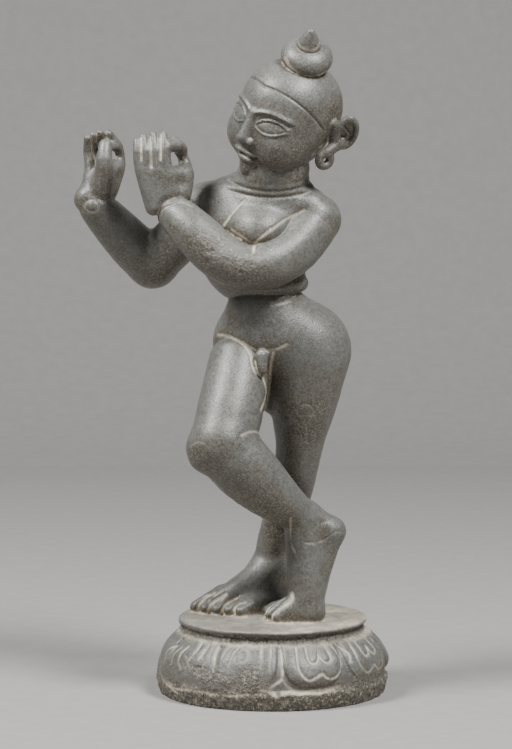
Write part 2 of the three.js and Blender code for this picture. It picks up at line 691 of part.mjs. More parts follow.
// The field at every grid point of the blocks that the surface may pass. The rest is left out.
function sampleField(field, box, step) {
  const blockCells = 8;
  const blockReach = (Math.sqrt(3) / 2) * blockCells * step * 1.3;
  const blocks = box.getSize(new THREE.Vector3()).divideScalar(step * blockCells).ceil();
  const [nx, ny, nz] = blocks.toArray().map((count) => count * blockCells + 1);
  const values = new Float32Array(nx * ny * nz).fill(NaN);
  const place = (i, j, k) => [box.min.x + i * step, box.min.y + j * step, box.min.z + k * step];
  const passed = [];
  for (let bk = 0; bk < blocks.z; bk++) {
    for (let bj = 0; bj < blocks.y; bj++) {
      for (let bi = 0; bi < blocks.x; bi++) {
        const start = [bi, bj, bk].map((count) => count * blockCells);
        const middle = place(...start.map((index) => index + blockCells / 2));
        if (Math.abs(field(...middle)) > blockReach) continue;
        passed.push(start);
        for (let k = start[2]; k <= start[2] + blockCells; k++) {
          for (let j = start[1]; j <= start[1] + blockCells; j++) {
            for (let i = start[0]; i <= start[0] + blockCells; i++) {
              const index = i + nx * (j + ny * k);
              if (Number.isNaN(values[index])) values[index] = field(...place(i, j, k));
            }
          }
        }
      }
    }
  }
  return { values, passed, blockCells, nx, ny, place };
}

// Triangles through every cell whose corners lie on both sides of the surface
function readSurface(field, box, step) {
  const { values, passed, blockCells, nx, ny, place } = sampleField(field, box, step);
  const points = [];
  const triangles = [];
  const pointOnEdge = new Map();
  const indexOf = (i, j, k) => i + nx * (j + ny * k);

  function crossing(cell, edge) {
    const cornerAt = (corner) => cell.map((count, axis) => count + cellCorners[corner][axis]);
    const [start, end] = cellEdges[edge].map(cornerAt);
    const direction = end.findIndex((value, axis) => value !== start[axis]);
    const key = indexOf(...start) * 3 + direction;
    if (!pointOnEdge.has(key)) {
      const a = values[indexOf(...start)];
      const b = values[indexOf(...end)];
      pointOnEdge.set(key, points.length);
      points.push(vector(between(place(...start), place(...end), clamp(a / (a - b), 0.04, 0.96))));
    }
    return pointOnEdge.get(key);
  }

  for (const [si, sj, sk] of passed) {
    for (let k = sk; k < sk + blockCells; k++) {
      for (let j = sj; j < sj + blockCells; j++) {
        for (let i = si; i < si + blockCells; i++) {
          let outside = 0;
          cellCorners.forEach(([di, dj, dk], corner) => {
            if (values[indexOf(i + di, j + dj, k + dk)] > 0) outside |= 1 << corner;
          });
          if (edgeTable[outside] === 0) continue;
          for (let t = outside * 16; triTable[t] !== -1; t += 3) {
            const edges = [triTable[t], triTable[t + 1], triTable[t + 2]];
            triangles.push(edges.map((edge) => crossing([i, j, k], edge)));
          }
        }
      }
    }
  }
  return { points, triangles };
}

// Thinning out: the edge whose loss changes the surface least is drawn together first.

class Queue {
  entries = [];

  push(entry) {
    const { entries } = this;
    let slot = entries.length;
    entries.push(entry);
    while (slot > 0) {
      const parent = (slot - 1) >> 1;
      if (entries[parent].cost <= entry.cost) break;
      entries[slot] = entries[parent];
      slot = parent;
    }
    entries[slot] = entry;
  }

  takeCheapest() {
    const { entries } = this;
    const cheapest = entries[0];
    const last = entries.pop();
    if (entries.length === 0) return cheapest;
    let slot = 0;
    for (;;) {
      let child = 2 * slot + 1;
      if (child >= entries.length) break;
      if (child + 1 < entries.length && entries[child + 1].cost < entries[child].cost) child++;
      if (entries[child].cost >= last.cost) break;
      entries[slot] = entries[child];
      slot = child;
    }
    entries[slot] = last;
    return cheapest;
  }
}

// Sum of squared distances to planes, as the ten different entries of its symmetric matrix
function addPlane(sums, { x, y, z }, w, weight) {
  const terms = [x * x, x * y, x * z, x * w, y * y, y * z, y * w, z * z, z * w, w * w];
  terms.forEach((term, i) => {
    sums[i] += term * weight;
  });
}

function squaredDistance(s, { x, y, z }) {
  return s[0] * x * x + s[4] * y * y + s[7] * z * z + s[9]
    + 2 * (s[1] * x * y + s[2] * x * z + s[5] * y * z + s[3] * x + s[6] * y + s[8] * z);
}

// The place for the point that an edge shrinks to
function bestPlace(sums, a, b) {
  const middle = a.clone().add(b).multiplyScalar(0.5);
  const matrix = new THREE.Matrix3().set(
    sums[0], sums[1], sums[2],
    sums[1], sums[4], sums[5],
    sums[2], sums[5], sums[7],
  );
  const size = (sums[0] + sums[4] + sums[7]) / 3;
  if (Math.abs(matrix.determinant()) > 1e-5 * size ** 3) {
    const solved = new THREE.Vector3(-sums[3], -sums[6], -sums[8]).applyMatrix3(matrix.invert());
    if (solved.distanceTo(middle) < a.distanceTo(b)) return solved;
  }
  const choices = [middle, a.clone(), b.clone()];
  choices.sort((p, q) => squaredDistance(sums, p) - squaredDistance(sums, q));
  return choices[0];
}

const areaNormal = (a, b, c) => b.clone().sub(a).cross(c.clone().sub(a));

function thinOut({ points, triangles }, limit, careAt) {
  const sums = points.map(() => new Float64Array(10));
  const around = points.map(() => new Set());
  const ages = new Int32Array(points.length);
  triangles.forEach((corners, t) => {
    const [a, b, c] = corners.map((corner) => points[corner]);
    const normal = areaNormal(a, b, c);
    const area = normal.length() / 2;
    normal.normalize();
    for (const corner of corners) {
      addPlane(sums[corner], normal, -normal.dot(a), area * careAt(a));
      around[corner].add(t);
    }
  });

  const queue = new Queue();
  const cornersNear = (v) => [...around[v]].flatMap((t) => triangles[t]);
  const neighbours = (v) => new Set(cornersNear(v).filter((corner) => corner !== v));
  function offer(a, b) {
    const both = sums[a].map((value, i) => value + sums[b][i]);
    const place = bestPlace(both, points[a], points[b]);
    const shortness = 2e-4 * points[a].distanceToSquared(points[b]) * careAt(place);
    queue.push({ cost: squaredDistance(both, place) + shortness, a, b, both, place, age: ages[a] + ages[b] });
  }
  triangles.forEach(([a, b, c]) => {
    for (const [from, to] of [[a, b], [b, c], [c, a]]) if (from < to) offer(from, to);
  });

  // A move may not turn a triangle over or leave it as a sliver.
  function keepsShape(v, other, place) {
    for (const t of around[v]) {
      if (triangles[t].includes(other)) continue;
      const before = triangles[t].map((corner) => points[corner]);
      const after = triangles[t].map((corner) => (corner === v ? place : points[corner]));
      const was = areaNormal(...before);
      const is = areaNormal(...after);
      const longest = Math.max(...after.map((point, i) => point.distanceToSquared(after[(i + 1) % 3])));
      if (is.length() < 0.06 * longest || is.dot(was) < 0.35 * is.length() * was.length()) return false;
    }
    return true;
  }

  let left = triangles.length;
  while (left > limit && queue.entries.length > 0) {
    const { a, b, both, place, age } = queue.takeCheapest();
    if (around[a].size === 0 || around[b].size === 0 || ages[a] + ages[b] !== age) continue;
    const nearA = neighbours(a);
    const shared = [...neighbours(b)].filter((corner) => nearA.has(corner));
    if (shared.length !== 2 || !keepsShape(a, b, place) || !keepsShape(b, a, place)) continue;
    for (const t of around[b]) {
      if (triangles[t].includes(a)) {
        for (const corner of triangles[t]) if (corner !== b) around[corner].delete(t);
        triangles[t] = null;
        left--;
      } else {
        triangles[t][triangles[t].indexOf(b)] = a;
        around[a].add(t);
      }
    }
    around[b].clear();
    points[a].copy(place);
    sums[a].set(both);
    ages[a]++;
    for (const corner of neighbours(a)) {
      offer(Math.min(a, corner), Math.max(a, corner));
    }
  }
  return { points, triangles: triangles.filter(Boolean) };
}

// More triangles are kept on the head, the hands and the toes than on the broad forms.
const carefulPlaces = [
  { centre: new THREE.Vector3(10, -30, 452), reach: 75, care: 4 },
  { centre: new THREE.Vector3(-86, -50, 410), reach: 42, care: 6 },
  { centre: new THREE.Vector3(-152, -36, 407), reach: 42, care: 6 },
  { centre: new THREE.Vector3(-20, 0, 10), reach: 60, care: 3 },
];
function careAt(point) {
  const drawn = toFigure(point);
  const near = carefulPlaces.filter(({ centre, reach }) => drawn.distanceTo(centre) < reach);
  return Math.max(1, ...near.map(({ care }) => care));
}

function indexedGeometry({ points, triangles }) {
  const geometry = new THREE.BufferGeometry().setFromPoints(points);
  geometry.setIndex(triangles.flat());
  return geometry;
}

const wasm = await Module();
wasm.setup();

function toSolid(geometry) {
  return new wasm.Manifold(new wasm.Mesh({
    numProp: 3,
    vertProperties: new Float32Array(geometry.attributes.position.array),
    triVerts: new Uint32Array(geometry.index.array),
  }));
}

function toGeometry(solid) {
  const mesh = solid.getMesh();
  const geometry = new THREE.BufferGeometry();
  geometry.setAttribute("position", new THREE.BufferAttribute(mesh.vertProperties, 3));
  geometry.setIndex(new THREE.BufferAttribute(mesh.triVerts, 1));
  const flat = geometry.toNonIndexed();
  flat.computeVertexNormals();
  return flat;
}

function boxSolid(low, high) {
  const box = new THREE.Box3(low, high);
  const size = box.getSize(new THREE.Vector3());
  const geometry = new THREE.BoxGeometry(size.x, size.y, size.z);
  geometry.translate(...box.getCenter(new THREE.Vector3()).toArray());
  geometry.deleteAttribute("normal");
  geometry.deleteAttribute("uv");
  return toSolid(mergeVertices(geometry));
}

// The carving is read a little way into the floor, and then cut off level for its flat underside.
const lowest = new THREE.Vector3(-plinthRadius, -plinthRadius, -floorCut).subScalar(gridStep * 2);
const highest = new THREE.Vector3(plinthRadius, plinthRadius, plinthHeight).addScalar(gridStep * 2);
const readBox = new THREE.Box3(lowest, highest)
  .expandByPoint(fromFigure(new THREE.Vector3(-186, -86, drawnHeight + 8)));
const surface = thinOut(readSurface(makeCarving(), readBox, gridStep), triangleLimit, careAt);
const belowFloor = new THREE.Vector3(-2, -2, -1).multiplyScalar(plinthRadius);
const atFloor = new THREE.Vector3(2, 2, 0).multiplyScalar(plinthRadius);
let figureSolid = toSolid(indexedGeometry(surface)).subtract(boxSolid(belowFloor, atFloor));

const part = new THREE.Group();
part.name = "standing_flute_player";

function addPiece(name, solid) {
  const stone = new THREE.MeshStandardMaterial({ color: "#6f665c", roughness: 0.85, metalness: 0 });
  const piece = new THREE.Mesh(toGeometry(solid), stone);
  piece.name = name;
  part.add(piece);
}

// The hands are parted at the wrists by a saw cut. The body keeps what lies below it.
for (const { name, low, high } of hands) {
  const lowCorner = fromFigure(vector(low));
  const highCorner = fromFigure(vector(high));
  addPiece(name, figureSolid.intersect(boxSolid(lowCorner.clone().setZ(lowCorner.z + sawCut), highCorner)));
  figureSolid = figureSolid.subtract(boxSolid(lowCorner, highCorner));
}
addPiece("figure_on_lotus_plinth", figureSolid);

export default part;
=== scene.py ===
import math
from concurrent.futures import ThreadPoolExecutor

import bpy
import numpy as np
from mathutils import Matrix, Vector


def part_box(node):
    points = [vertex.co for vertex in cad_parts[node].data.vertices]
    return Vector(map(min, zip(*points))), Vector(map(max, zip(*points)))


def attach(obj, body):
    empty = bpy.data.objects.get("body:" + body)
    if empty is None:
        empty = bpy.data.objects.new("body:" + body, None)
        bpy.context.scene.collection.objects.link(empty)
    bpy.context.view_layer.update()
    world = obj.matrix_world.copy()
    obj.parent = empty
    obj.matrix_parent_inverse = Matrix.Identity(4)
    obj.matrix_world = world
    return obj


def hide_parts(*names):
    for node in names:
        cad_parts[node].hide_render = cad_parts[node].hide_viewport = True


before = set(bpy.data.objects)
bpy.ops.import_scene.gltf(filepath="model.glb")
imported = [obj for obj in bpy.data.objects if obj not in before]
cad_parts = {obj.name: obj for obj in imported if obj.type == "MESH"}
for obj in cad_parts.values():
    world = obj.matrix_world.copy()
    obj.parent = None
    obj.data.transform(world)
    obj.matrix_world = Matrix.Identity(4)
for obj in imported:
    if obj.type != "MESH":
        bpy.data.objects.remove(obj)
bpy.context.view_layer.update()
nodeName = "figure_on_lotus_plinth"
nodeLow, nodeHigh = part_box(nodeName)

# Sizes of the carving in millimetres, with its directions, counts and angles in degrees. Heights of
# the figure count from the plinth's top.
carving = {
    "height": 600,
    "gridStep": 0.95,
    "quickGridStep": 1.9,
    "triangles": 197000,
    "quickTriangles": 60000,
    "creaseWidth": 2.2,
    "fluteRadius": 4.2,
    "fluteInLeftHand": (-78.5, -38, 417),
    "fluteInRightHand": (-138, -38.5, 420),
    "headCentre": (15, -5, 455.5),
    "headFacing": (-0.44, -0.89, -0.11),
    "headUp": (0.27, -0.25, 0.93),
    "bunCentre": (38, -15, 507.5),
    "bunAxis": (0.32, -0.52, 0.79),
}
plinth = {
    "radius": 105.8,
    "bandHeight": 17,
    "bulgeHeight": 57,
    "height": 68,
    "discRadius": 86,
    "discThickness": 3.6,
    "discEdge": 1.5,
    "discWornThickness": 2,
    "shoulderHeight": 55.6,
    "neckRadius": 82.3,
    "neckFlare": 2.2,
    "fullerSide": 3.2,
    "petals": 10,
    "firstPetal": 42,
    "petalGap": 4,
    "petalDepth": 3.8,
    "petalRoundEdge": 6.5,
    "petalSquareness": 3.2,
    "petalInset": 26,
    "clearPetal": 42.5,
    "wornCut": 0.8,
    "wornBluntness": 0.8,
    "fullerMiddle": 105,
    "fullerSpread": 55,
    "fullerFrom": 18,
    "fullerTo": 34,
    "flareBelow": 4,
    "flareHeight": 8,
}
metres = (nodeHigh.z - nodeLow.z) / carving["height"]


def arr(values):
    return np.array(values, dtype=np.float32)


def unit(values):
    values = np.array(values, dtype=float)
    return values / np.linalg.norm(values)


def softMin(a, b, width):
    overlap = np.maximum(width - np.abs(a - b), 0)
    return np.minimum(a, b) - overlap * overlap / (4 * width)


def bell(value, width):
    return np.exp(-((value / width) ** 2))


def smoothStep(value, start, end):
    share = np.clip((value - start) / (end - start), 0, 1)
    return share * share * (3 - 2 * share)


def lengthOf(vectors):
    return np.sqrt(np.einsum("ij,ij->i", vectors, vectors))


# two shapes that meet in a carved crease
def creased(a, b, softness, depth, width=carving["creaseWidth"]):
    return softMin(a, b, softness) + depth * bell(a - b, width)


# a cone with round ends
def roundCone(start, end, startRadius, endRadius):
    start = arr(start)
    axis = arr(end) - start
    length = float(np.linalg.norm(axis))
    axis /= length
    lean = (startRadius - endRadius) / length
    upright = math.sqrt(1 - lean * lean)

    def distance(p):
        q = p - start
        along = q @ axis
        out2 = np.maximum(np.einsum("ij,ij->i", q, q) - along * along, 0)
        out = np.sqrt(out2)
        rise = along * upright - out * lean
        side = out * upright + along * lean - startRadius
        atStart = np.sqrt(out2 + along * along) - startRadius
        atEnd = np.sqrt(out2 + (along - length) ** 2) - endRadius
        return np.where(rise < 0, atStart, np.where(rise > upright * length, atEnd, side))

    return distance


# far from a shape, the distance to the ball around it is near enough
def within(centre, reach, distance, margin=14):
    centre = arr(centre)

    def bounded(p):
        gap = lengthOf(p - centre) - reach
        near = gap < margin
        if near.any():
            gap[near] = distance(p[near])
        return gap

    return bounded


def splinePoints(stations, steps):
    stations = np.array(stations, dtype=float)
    ends = np.vstack([2 * stations[0] - stations[1], stations, 2 * stations[-1] - stations[-2]])
    points = []
    for i in range(len(stations) - 1):
        a, b, c, d = ends[i:i + 4]
        for k in range(steps):
            t = k / steps
            points.append(b + 0.5 * t * (c - a + t * (2 * a - 5 * b + 4 * c - d + t * (3 * (b - c) + d - a))))
    points.append(stations[-1])
    return np.array(points)


# a limb runs smoothly through stations of x, y, z, radius
def limb(stations, steps=3):
    points = splinePoints(stations, steps)
    cones = [roundCone(a[:3], b[:3], a[3], b[3]) for a, b in zip(points, points[1:])]
    centre = (points[:, :3].max(0) + points[:, :3].min(0)) / 2
    reach = float((np.linalg.norm(points[:, :3] - centre, axis=1) + points[:, 3]).max())

    def distance(p):
        nearest = cones[0](p)
        for cone in cones[1:]:
            nearest = np.minimum(nearest, cone(p))
        return nearest

    return within(centre, reach, distance)


# an oval with its own axes as rows: left, forward, up
def oval(centre, radii, axes=None):
    centre = arr(centre)
    radii = arr(radii)
    turn = None if axes is None else arr(axes).T

    def distance(p):
        q = p - centre
        if turn is not None:
            q = q @ turn
        scaled = lengthOf(q / radii)
        steepness = lengthOf(q / (radii * radii))
        return scaled * (scaled - 1) / np.maximum(steepness, 1e-6)

    return distance


def facingAxes(facing, pointing):
    up = unit(pointing)
    facing = np.array(facing, dtype=float)
    forward = unit(facing - up * (facing @ up))
    return np.array([np.cross(up, forward), forward, up])


# a round bar bent into a ring
def ringAt(centre, direction, radius, barRadius):
    centre = arr(centre)
    axis = arr(unit(direction))

    def distance(p):
        q = p - centre
        height = q @ axis
        out = np.sqrt(np.maximum(np.einsum("ij,ij->i", q, q) - height * height, 0))
        return np.hypot(out - radius, height) - barRadius

    return distance


def makeTorso():
    ribs = oval((-17, -2, 342.5), (54, 38, 59))
    breast = oval((-3, -26.5, 350.5), (26, 24, 23))
    belly = oval((-4.5, 3.5, 299), (36.5, 33, 14.5), facingAxes((0, 1, 0), (-0.17, 0, 0.98)))
    girdle = limb([(-64.5, 2, 370.5, 20.5), (-34, -2, 381, 20), (-1, 2, 382.5, 21), (25, 5, 375.5, 20.5),
                   (39.5, 6, 362.5, 22)], 2)

    def distance(p):
        d = softMin(ribs(p), girdle(p), 13)
        d = softMin(d, breast(p), 12)
        return softMin(d, belly(p), 7)

    return within((-8, 0, 347), 105, distance)


# soft folds run round the neck
def addNeck(torso):
    neck = limb([(-3, 3, 385, 34.5), (6.5, -6, 415, 30)], 1)
    foldNormal = arr(unit((0.096, -0.263, 0.96)))
    lowestFold = float(foldNormal @ arr((12.5, -36, 380.5)))
    folds = [(0, 1.1, 1.6), (5.7, 0.9, 1.4), (11.5, 0.4, 1.8)]

    def distance(p):
        toNeck = neck(p)
        height = p @ foldNormal - lowestFold
        near = bell(toNeck, 9)
        d = softMin(torso(p), toNeck, 7)
        for offset, depth, width in folds:
            d = d + depth * bell(height - offset, width) * near
        return d

    return distance


def makeArms():
    leftUpper = limb([(39, 8, 362, 23.5), (26.5, -13.5, 338.5, 23.6), (10.5, -34.5, 324.5, 22.5),
                      (-6, -47, 322.5, 21)])
    leftLower = limb([(-6, -47, 322.5, 21), (-28.5, -53, 329.5, 21.5), (-52.5, -55, 350.5, 20.5),
                      (-76.5, -49, 370, 16.2)])
    rightUpper = limb([(-64.5, 2, 370.5, 22.5), (-92, 7, 343.5, 22.5), (-119, 8, 319, 22.5)])
    rightLower = limb([(-119, 8, 319, 22.5), (-130.5, -2.5, 331.5, 22), (-142.5, -20, 350.5, 20),
                       (-155, -40.5, 373, 16.2)])

    def left(p):
        a = leftUpper(p)
        b = leftLower(p)
        return softMin(a, b, 3) + 2.4 * bell(a - b, carving["creaseWidth"]) * smoothStep(p[:, 2], 329, 338)

    def right(p):
        return softMin(rightUpper(p), rightLower(p), 5)

    return left, right


# one palm below the knuckles, and separate fingers with creases between them above
def makeRays(rays, knuckleHeight, flatness, groove):
    fingers = [limb(stations, 2) for stations in rays]

    def distance(p):
        apart = smoothStep(p[:, 2], knuckleHeight - 7, knuckleHeight)
        d = fingers[0](p)
        for finger in fingers[1:]:
            other = finger(p)
            d = softMin(d, other, 6 - (6 - flatness) * apart) + groove * apart * bell(d - other, 1)
        return d

    return distance


def spreadRays(first, last, tipLift):
    first = np.array(first, dtype=float)
    last = np.array(last, dtype=float)
    rays = []
    for i, lift in enumerate(tipLift):
        ray = first + (last - first) * i / (len(tipLift) - 1)
        ray[-1][2] += lift
        rays.append(ray)
    return rays


def makeLeftHand():
    little = [(-92, -56, 374.5, 8.6), (-102.4, -63.5, 407, 4.8), (-103.6, -66, 423, 4.3),
              (-105.2, -63.8, 432.2, 3.4)]
    ring = [(-86.5, -54, 374.5, 8.6), (-96.5, -61, 407, 6), (-98, -63, 423.5, 5.2),
            (-100.6, -59.9, 436, 3.3)]
    middle = [(-81, -52, 374.5, 8.6), (-88.8, -58.4, 407, 6.2), (-90.3, -60.2, 424, 5.4),
              (-92.6, -56, 438, 3.3)]
    first = [(-75.5, -50, 374.5, 8.6), (-81, -55.8, 407, 6.6), (-81.9, -57.3, 424.5, 5.6),
             (-84.2, -52.3, 438.6, 3.3)]
    rays = makeRays([little, ring, middle, first], 413, 2.8, 0.2)
    thumb = limb([(-73, -43.5, 378, 9.5), (-71, -37.5, 396.5, 9), (-72, -30.5, 408.5, 6.5),
                  (-74.5, -30.5, 418, 5), (-77, -35.5, 426.5, 5.6), (-78.5, -42, 432.5, 5)], 2)
    palm = limb([(-80, -53, 402, 7.5), (-72.5, -37, 402, 9.5)], 1)
    tips = limb([(-79.5, -54.5, 428, 5.2), (-75, -42, 428, 6), (-74.5, -34, 425, 5.5)], 1)
    return within((-86, -46, 406), 52,
                  lambda p: softMin(softMin(rays(p), palm(p), 5), softMin(thumb(p), tips(p), 4), 4))


# the palm shows, over a round heel
def makeRightHand():
    little = [(-162, -42, 378, 9.5), (-161.5, -35.5, 405, 6), (-165, -33.5, 420.5, 4.8),
              (-163.5, -38.5, 433.5, 3.5)]
    middle = [(-152, -38, 378, 9), (-148, -28, 404.5, 6.4), (-155, -26.5, 423, 5.2),
              (-154.5, -32.5, 437.5, 4.1)]
    first = [(-147.5, -36.5, 378, 8.5), (-140, -25.5, 404, 6.4), (-137, -24.5, 414.5, 4.2),
             (-138.5, -28, 426, 4.8), (-143, -39, 437.5, 4.4)]
    rays = makeRays([*spreadRays(little, middle, (0, 0.6, 0)), first], 404, 3, 0.9)
    thumb = limb([(-148, -44.5, 385.5, 9.5), (-143.2, -48.5, 400.5, 8.6), (-142, -51.5, 415, 7.4),
                  (-143, -46.5, 427.5, 6.2)], 2)
    heel = oval((-161, -43.5, 378.5), (13.2, 12, 13))
    palm = limb([(-152, -38, 388, 11), (-145, -40, 404, 9.5), (-140, -31, 408, 7)], 1)
    tips = limb([(-141, -45, 426.5, 4.4), (-138.8, -31, 426.5, 4.2)], 1)

    def distance(p):
        d = softMin(rays(p), heel(p), 5)
        d = softMin(d, palm(p), 6)
        return softMin(d, np.minimum(thumb(p), tips(p)), 4)

    return within((-151, -38, 402), 52, distance)


def makeHipsAndLegs():
    middle = oval((-3, 7.5, 257), (47, 36, 36))
    waist = limb([(-7.5, 3.5, 283, 35), (0.5, 8.5, 261, 38)], 1)
    leftHip = oval((23, 23, 244), (39.5, 38, 42))
    rightHip = oval((-25.5, 12, 246), (33, 36, 36))
    betweenThighs = limb([(-4, 0.5, 236, 9), (-6, 8.5, 193, 7)], 1)
    standing = limb([(26.5, 22.5, 240.5, 38), (24.5, 21.5, 215, 34), (22.5, 21, 192, 29.5),
                     (20, 22, 171.5, 24.5), (18, 23.5, 155, 21.5), (13.5, 27, 134, 20),
                     (6, 33, 110, 19.5), (-5, 38.5, 83, 17), (-14.5, 42.5, 56.5, 15.5),
                     (-17, 45, 38.5, 15.5)])
    thigh = limb([(-27, -12, 231, 28.3), (-26, -27.5, 209, 29.2), (-26, -41.5, 187.5, 29.5),
                  (-28, -55, 164, 28.5)])
    shin = limb([(-28, -55, 164, 28.5), (-12, -46, 142.5, 28.5), (2.5, -34, 124.5, 25.5),
                 (13.5, -24, 112, 21.5), (23.5, -11.5, 100, 17.5), (30.5, -1.5, 91, 16.5)])
    kneecap = limb([(-42.5, -64.5, 158, 13), (-41, -64, 152.5, 13)], 1)
    loinBoss = limb([(1.5, -31.5, 241, 6), (2.5, -33, 228.5, 4.5)], 1)

    def hips(p):
        d = softMin(middle(p), waist(p), 8)
        d = softMin(d, leftHip(p), 12)
        d = softMin(d, rightHip(p), 14)
        return softMin(d, betweenThighs(p), 5)

    nearHips = within((0, 10, 250), 98, hips)

    def distance(p):
        still = softMin(nearHips(p), standing(p), 9)
        crossed = softMin(softMin(thigh(p), shin(p), 5), kneecap(p), 10)
        return softMin(creased(still, crossed, 4, 1.4), loinBoss(p), 2)

    return distance


# toes from the big one to the little one, each from its root over the joint to its tip
def makeToes(bigToe, secondToe, littleToe):
    shapes = [limb(bigToe, 1)]
    for ray in spreadRays(secondToe, littleToe, (0, 0, 0, 0)):
        shapes.append(limb(ray, 1))

    def distance(p):
        d = shapes[0](p)
        for toe in shapes[1:]:
            d = creased(d, toe(p), 0.8, 0.7, 1)
        return d

    return distance


# the right foot stands on tiptoe, and the left one flat behind it, turned in
def makeFeet():
    rightParts = [
        limb([(30.5, -1.5, 91, 16.5), (53, 10.5, 79, 12.2)], 1),
        limb([(30.5, -1.5, 91, 16.5), (32.5, -3, 67.5, 17.5), (36, -6, 43.5, 17.5), (36.5, -10, 22, 16.5),
              (39.5, -11, 8.5, 14)], 2),
        limb([(52, 10.5, 78.5, 12.5), (34, 1.5, 23.5, 15)], 1),
        limb([(33, 1.5, 42, 16), (28, 10.5, 8.5, 14)], 1),
        limb([(39.5, -11, 8.5, 12), (25.5, -22.5, 5, 8)], 1),
        limb([(20, -20, 1.5, 6), (6, -12, 1.5, 4.5), (-3, 9, 1.5, 4)], 1),
    ]
    rightToes = makeToes([(32, -17, 19.5, 9), (24, -24.5, 11.5, 8), (16, -29.5, 4.5, 6.2)],
                         [(21, -8, 17, 5.6), (13, -14.5, 11.5, 5.2), (5, -19.5, 5, 4.6)],
                         [(6, 15, 9, 4.8), (-2.5, 12, 7, 4.5), (-7, 8.5, 4, 4)])
    leftParts = [
        limb([(-17, 45, 38.5, 15.5), (-11, 58, 16, 15)], 1),
        limb([(-17, 44, 42.5, 16), (-26, 31, 27, 16), (-40, 13, 17, 13), (-53.5, 2, 11.5, 9)], 2),
        limb([(-10.5, 53.5, 15, 13), (-23.5, 6.5, 8.5, 8)], 1),
        limb([(-22, 34.5, 17.5, 13), (-46.5, 4.5, 9.5, 8.5)], 1),
        limb([(-69, 3, 1.5, 4.5), (-58, -3, 1.5, 4.5), (-27, -8.5, 1.5, 4.5)], 1),
        limb([(-26, -8, 2, 5.5), (-19, 10, 2, 8), (-7, 48, 2, 10)], 1),
    ]
    leftToes = makeToes([(-53, 11.5, 17, 7.5), (-64, 4.5, 9.5, 7), (-73, -1, 4, 6.2)],
                        [(-46.5, 7.5, 13.5, 5.6), (-56, -1, 9, 5.3), (-62, -8.5, 4.5, 4.8)],
                        [(-20, -1, 9, 5), (-24.5, -8, 7, 4.8), (-26, -13.5, 5, 4.2)])

    def joined(parts, toes, softness):
        def distance(p):
            d = parts[0](p)
            for part in parts[1:]:
                d = softMin(d, part(p), softness)
            return softMin(d, toes(p), 3)
        return distance

    right = within((28, -2, 47), 66, joined(rightParts, rightToes, 7))
    left = within((-35, 25, 20), 66, joined(leftParts, leftToes, 8))
    return lambda p: np.minimum(right(p), left(p))


# sockets, lidded almond eyes, brows and mouth on the smooth head: l to the left, f forward, u up
def faceRelief(l, f, u):
    side = np.abs(l)
    across = np.clip((side - 20.5) / 12.5, -1, 1)
    rim = 1 - across * across
    upperLid = 0.8 * across + 5.4 * rim ** 0.75
    lowerLid = 0.8 * across - 4.2 * rim
    halfGap = np.maximum((upperLid - lowerLid) / 2, 0.05)
    fromMiddle = (u - (upperLid + lowerLid) / 2) / halfGap
    eyeball = np.sqrt(np.maximum(1 - fromMiddle * fromMiddle, 0) * rim)
    lidEnds = smoothStep(side, 6, 9) * (1 - smoothStep(side, 33, 37))
    browEnds = smoothStep(side, 2, 6) * (1 - smoothStep(side, 33, 38))
    brow = 13.2 - 0.016 * (side - 18) ** 2
    mouth = 0.9 * np.cos(side / 3.2) - 32.5 + 0.012 * side * side
    relief = -2.6 * np.exp(-(((side - 17) / 12) ** 2) - ((u - 3) / 8.5) ** 2)
    relief += 2.1 * eyeball
    relief += 1.7 * lidEnds * bell(u - upperLid - 1.6, 1.5)
    relief += 1.5 * lidEnds * bell(u - lowerLid + 1.5, 1.4)
    relief += 1.8 * browEnds * bell(u - brow, 1.9)
    relief -= 1.8 * bell(u - mouth, 1) * (1 - smoothStep(side, 12, 15))
    return relief * smoothStep(f, 8, 20)


def makeEar():
    centre = np.array((52, -26, 0), dtype=float)
    back = unit((0.55, -0.83, 0))
    up = unit((0.1, 0.12, 0.98))
    out = np.cross(back, up)
    axes = arr((back, out, up)).T

    def place(b, n, u):
        return centre + back * b + out * n + up * u

    bowl = oval(place(0.5, 2.4, 0), (8.6, 1.7, 14.5), (back, out, up))
    curl = limb([(*place(-5, -0.5, 6), 1.6), (*place(2, -0.5, -2), 1.6), (*place(-2.5, -0.5, -9), 1.8)], 1)
    root = roundCone(place(-11, 1, 5), place(-10, 1, -10), 4.5, 4.5)
    lobe = roundCone(place(-4, 0, -11), (47.5, -9.8, -18.5), 5.4, 4.6)
    earring = ringAt((47.5, -8.8, -25.5), (1, 0.25, 0.1), 5.8, 3.8)

    def distance(s):
        q = (s - arr(centre)) @ axes
        rim = np.hypot((np.hypot(q[:, 0] / 0.62, q[:, 2]) - 13.6) * 0.75, q[:, 1]) - 2.7
        d = softMin(rim, bowl(s), 2)
        d = softMin(d, curl(s), 1.2)
        d = softMin(d, root(s), 5)
        d = softMin(d, lobe(s), 3)
        return softMin(d, earring(s), 2)

    return distance


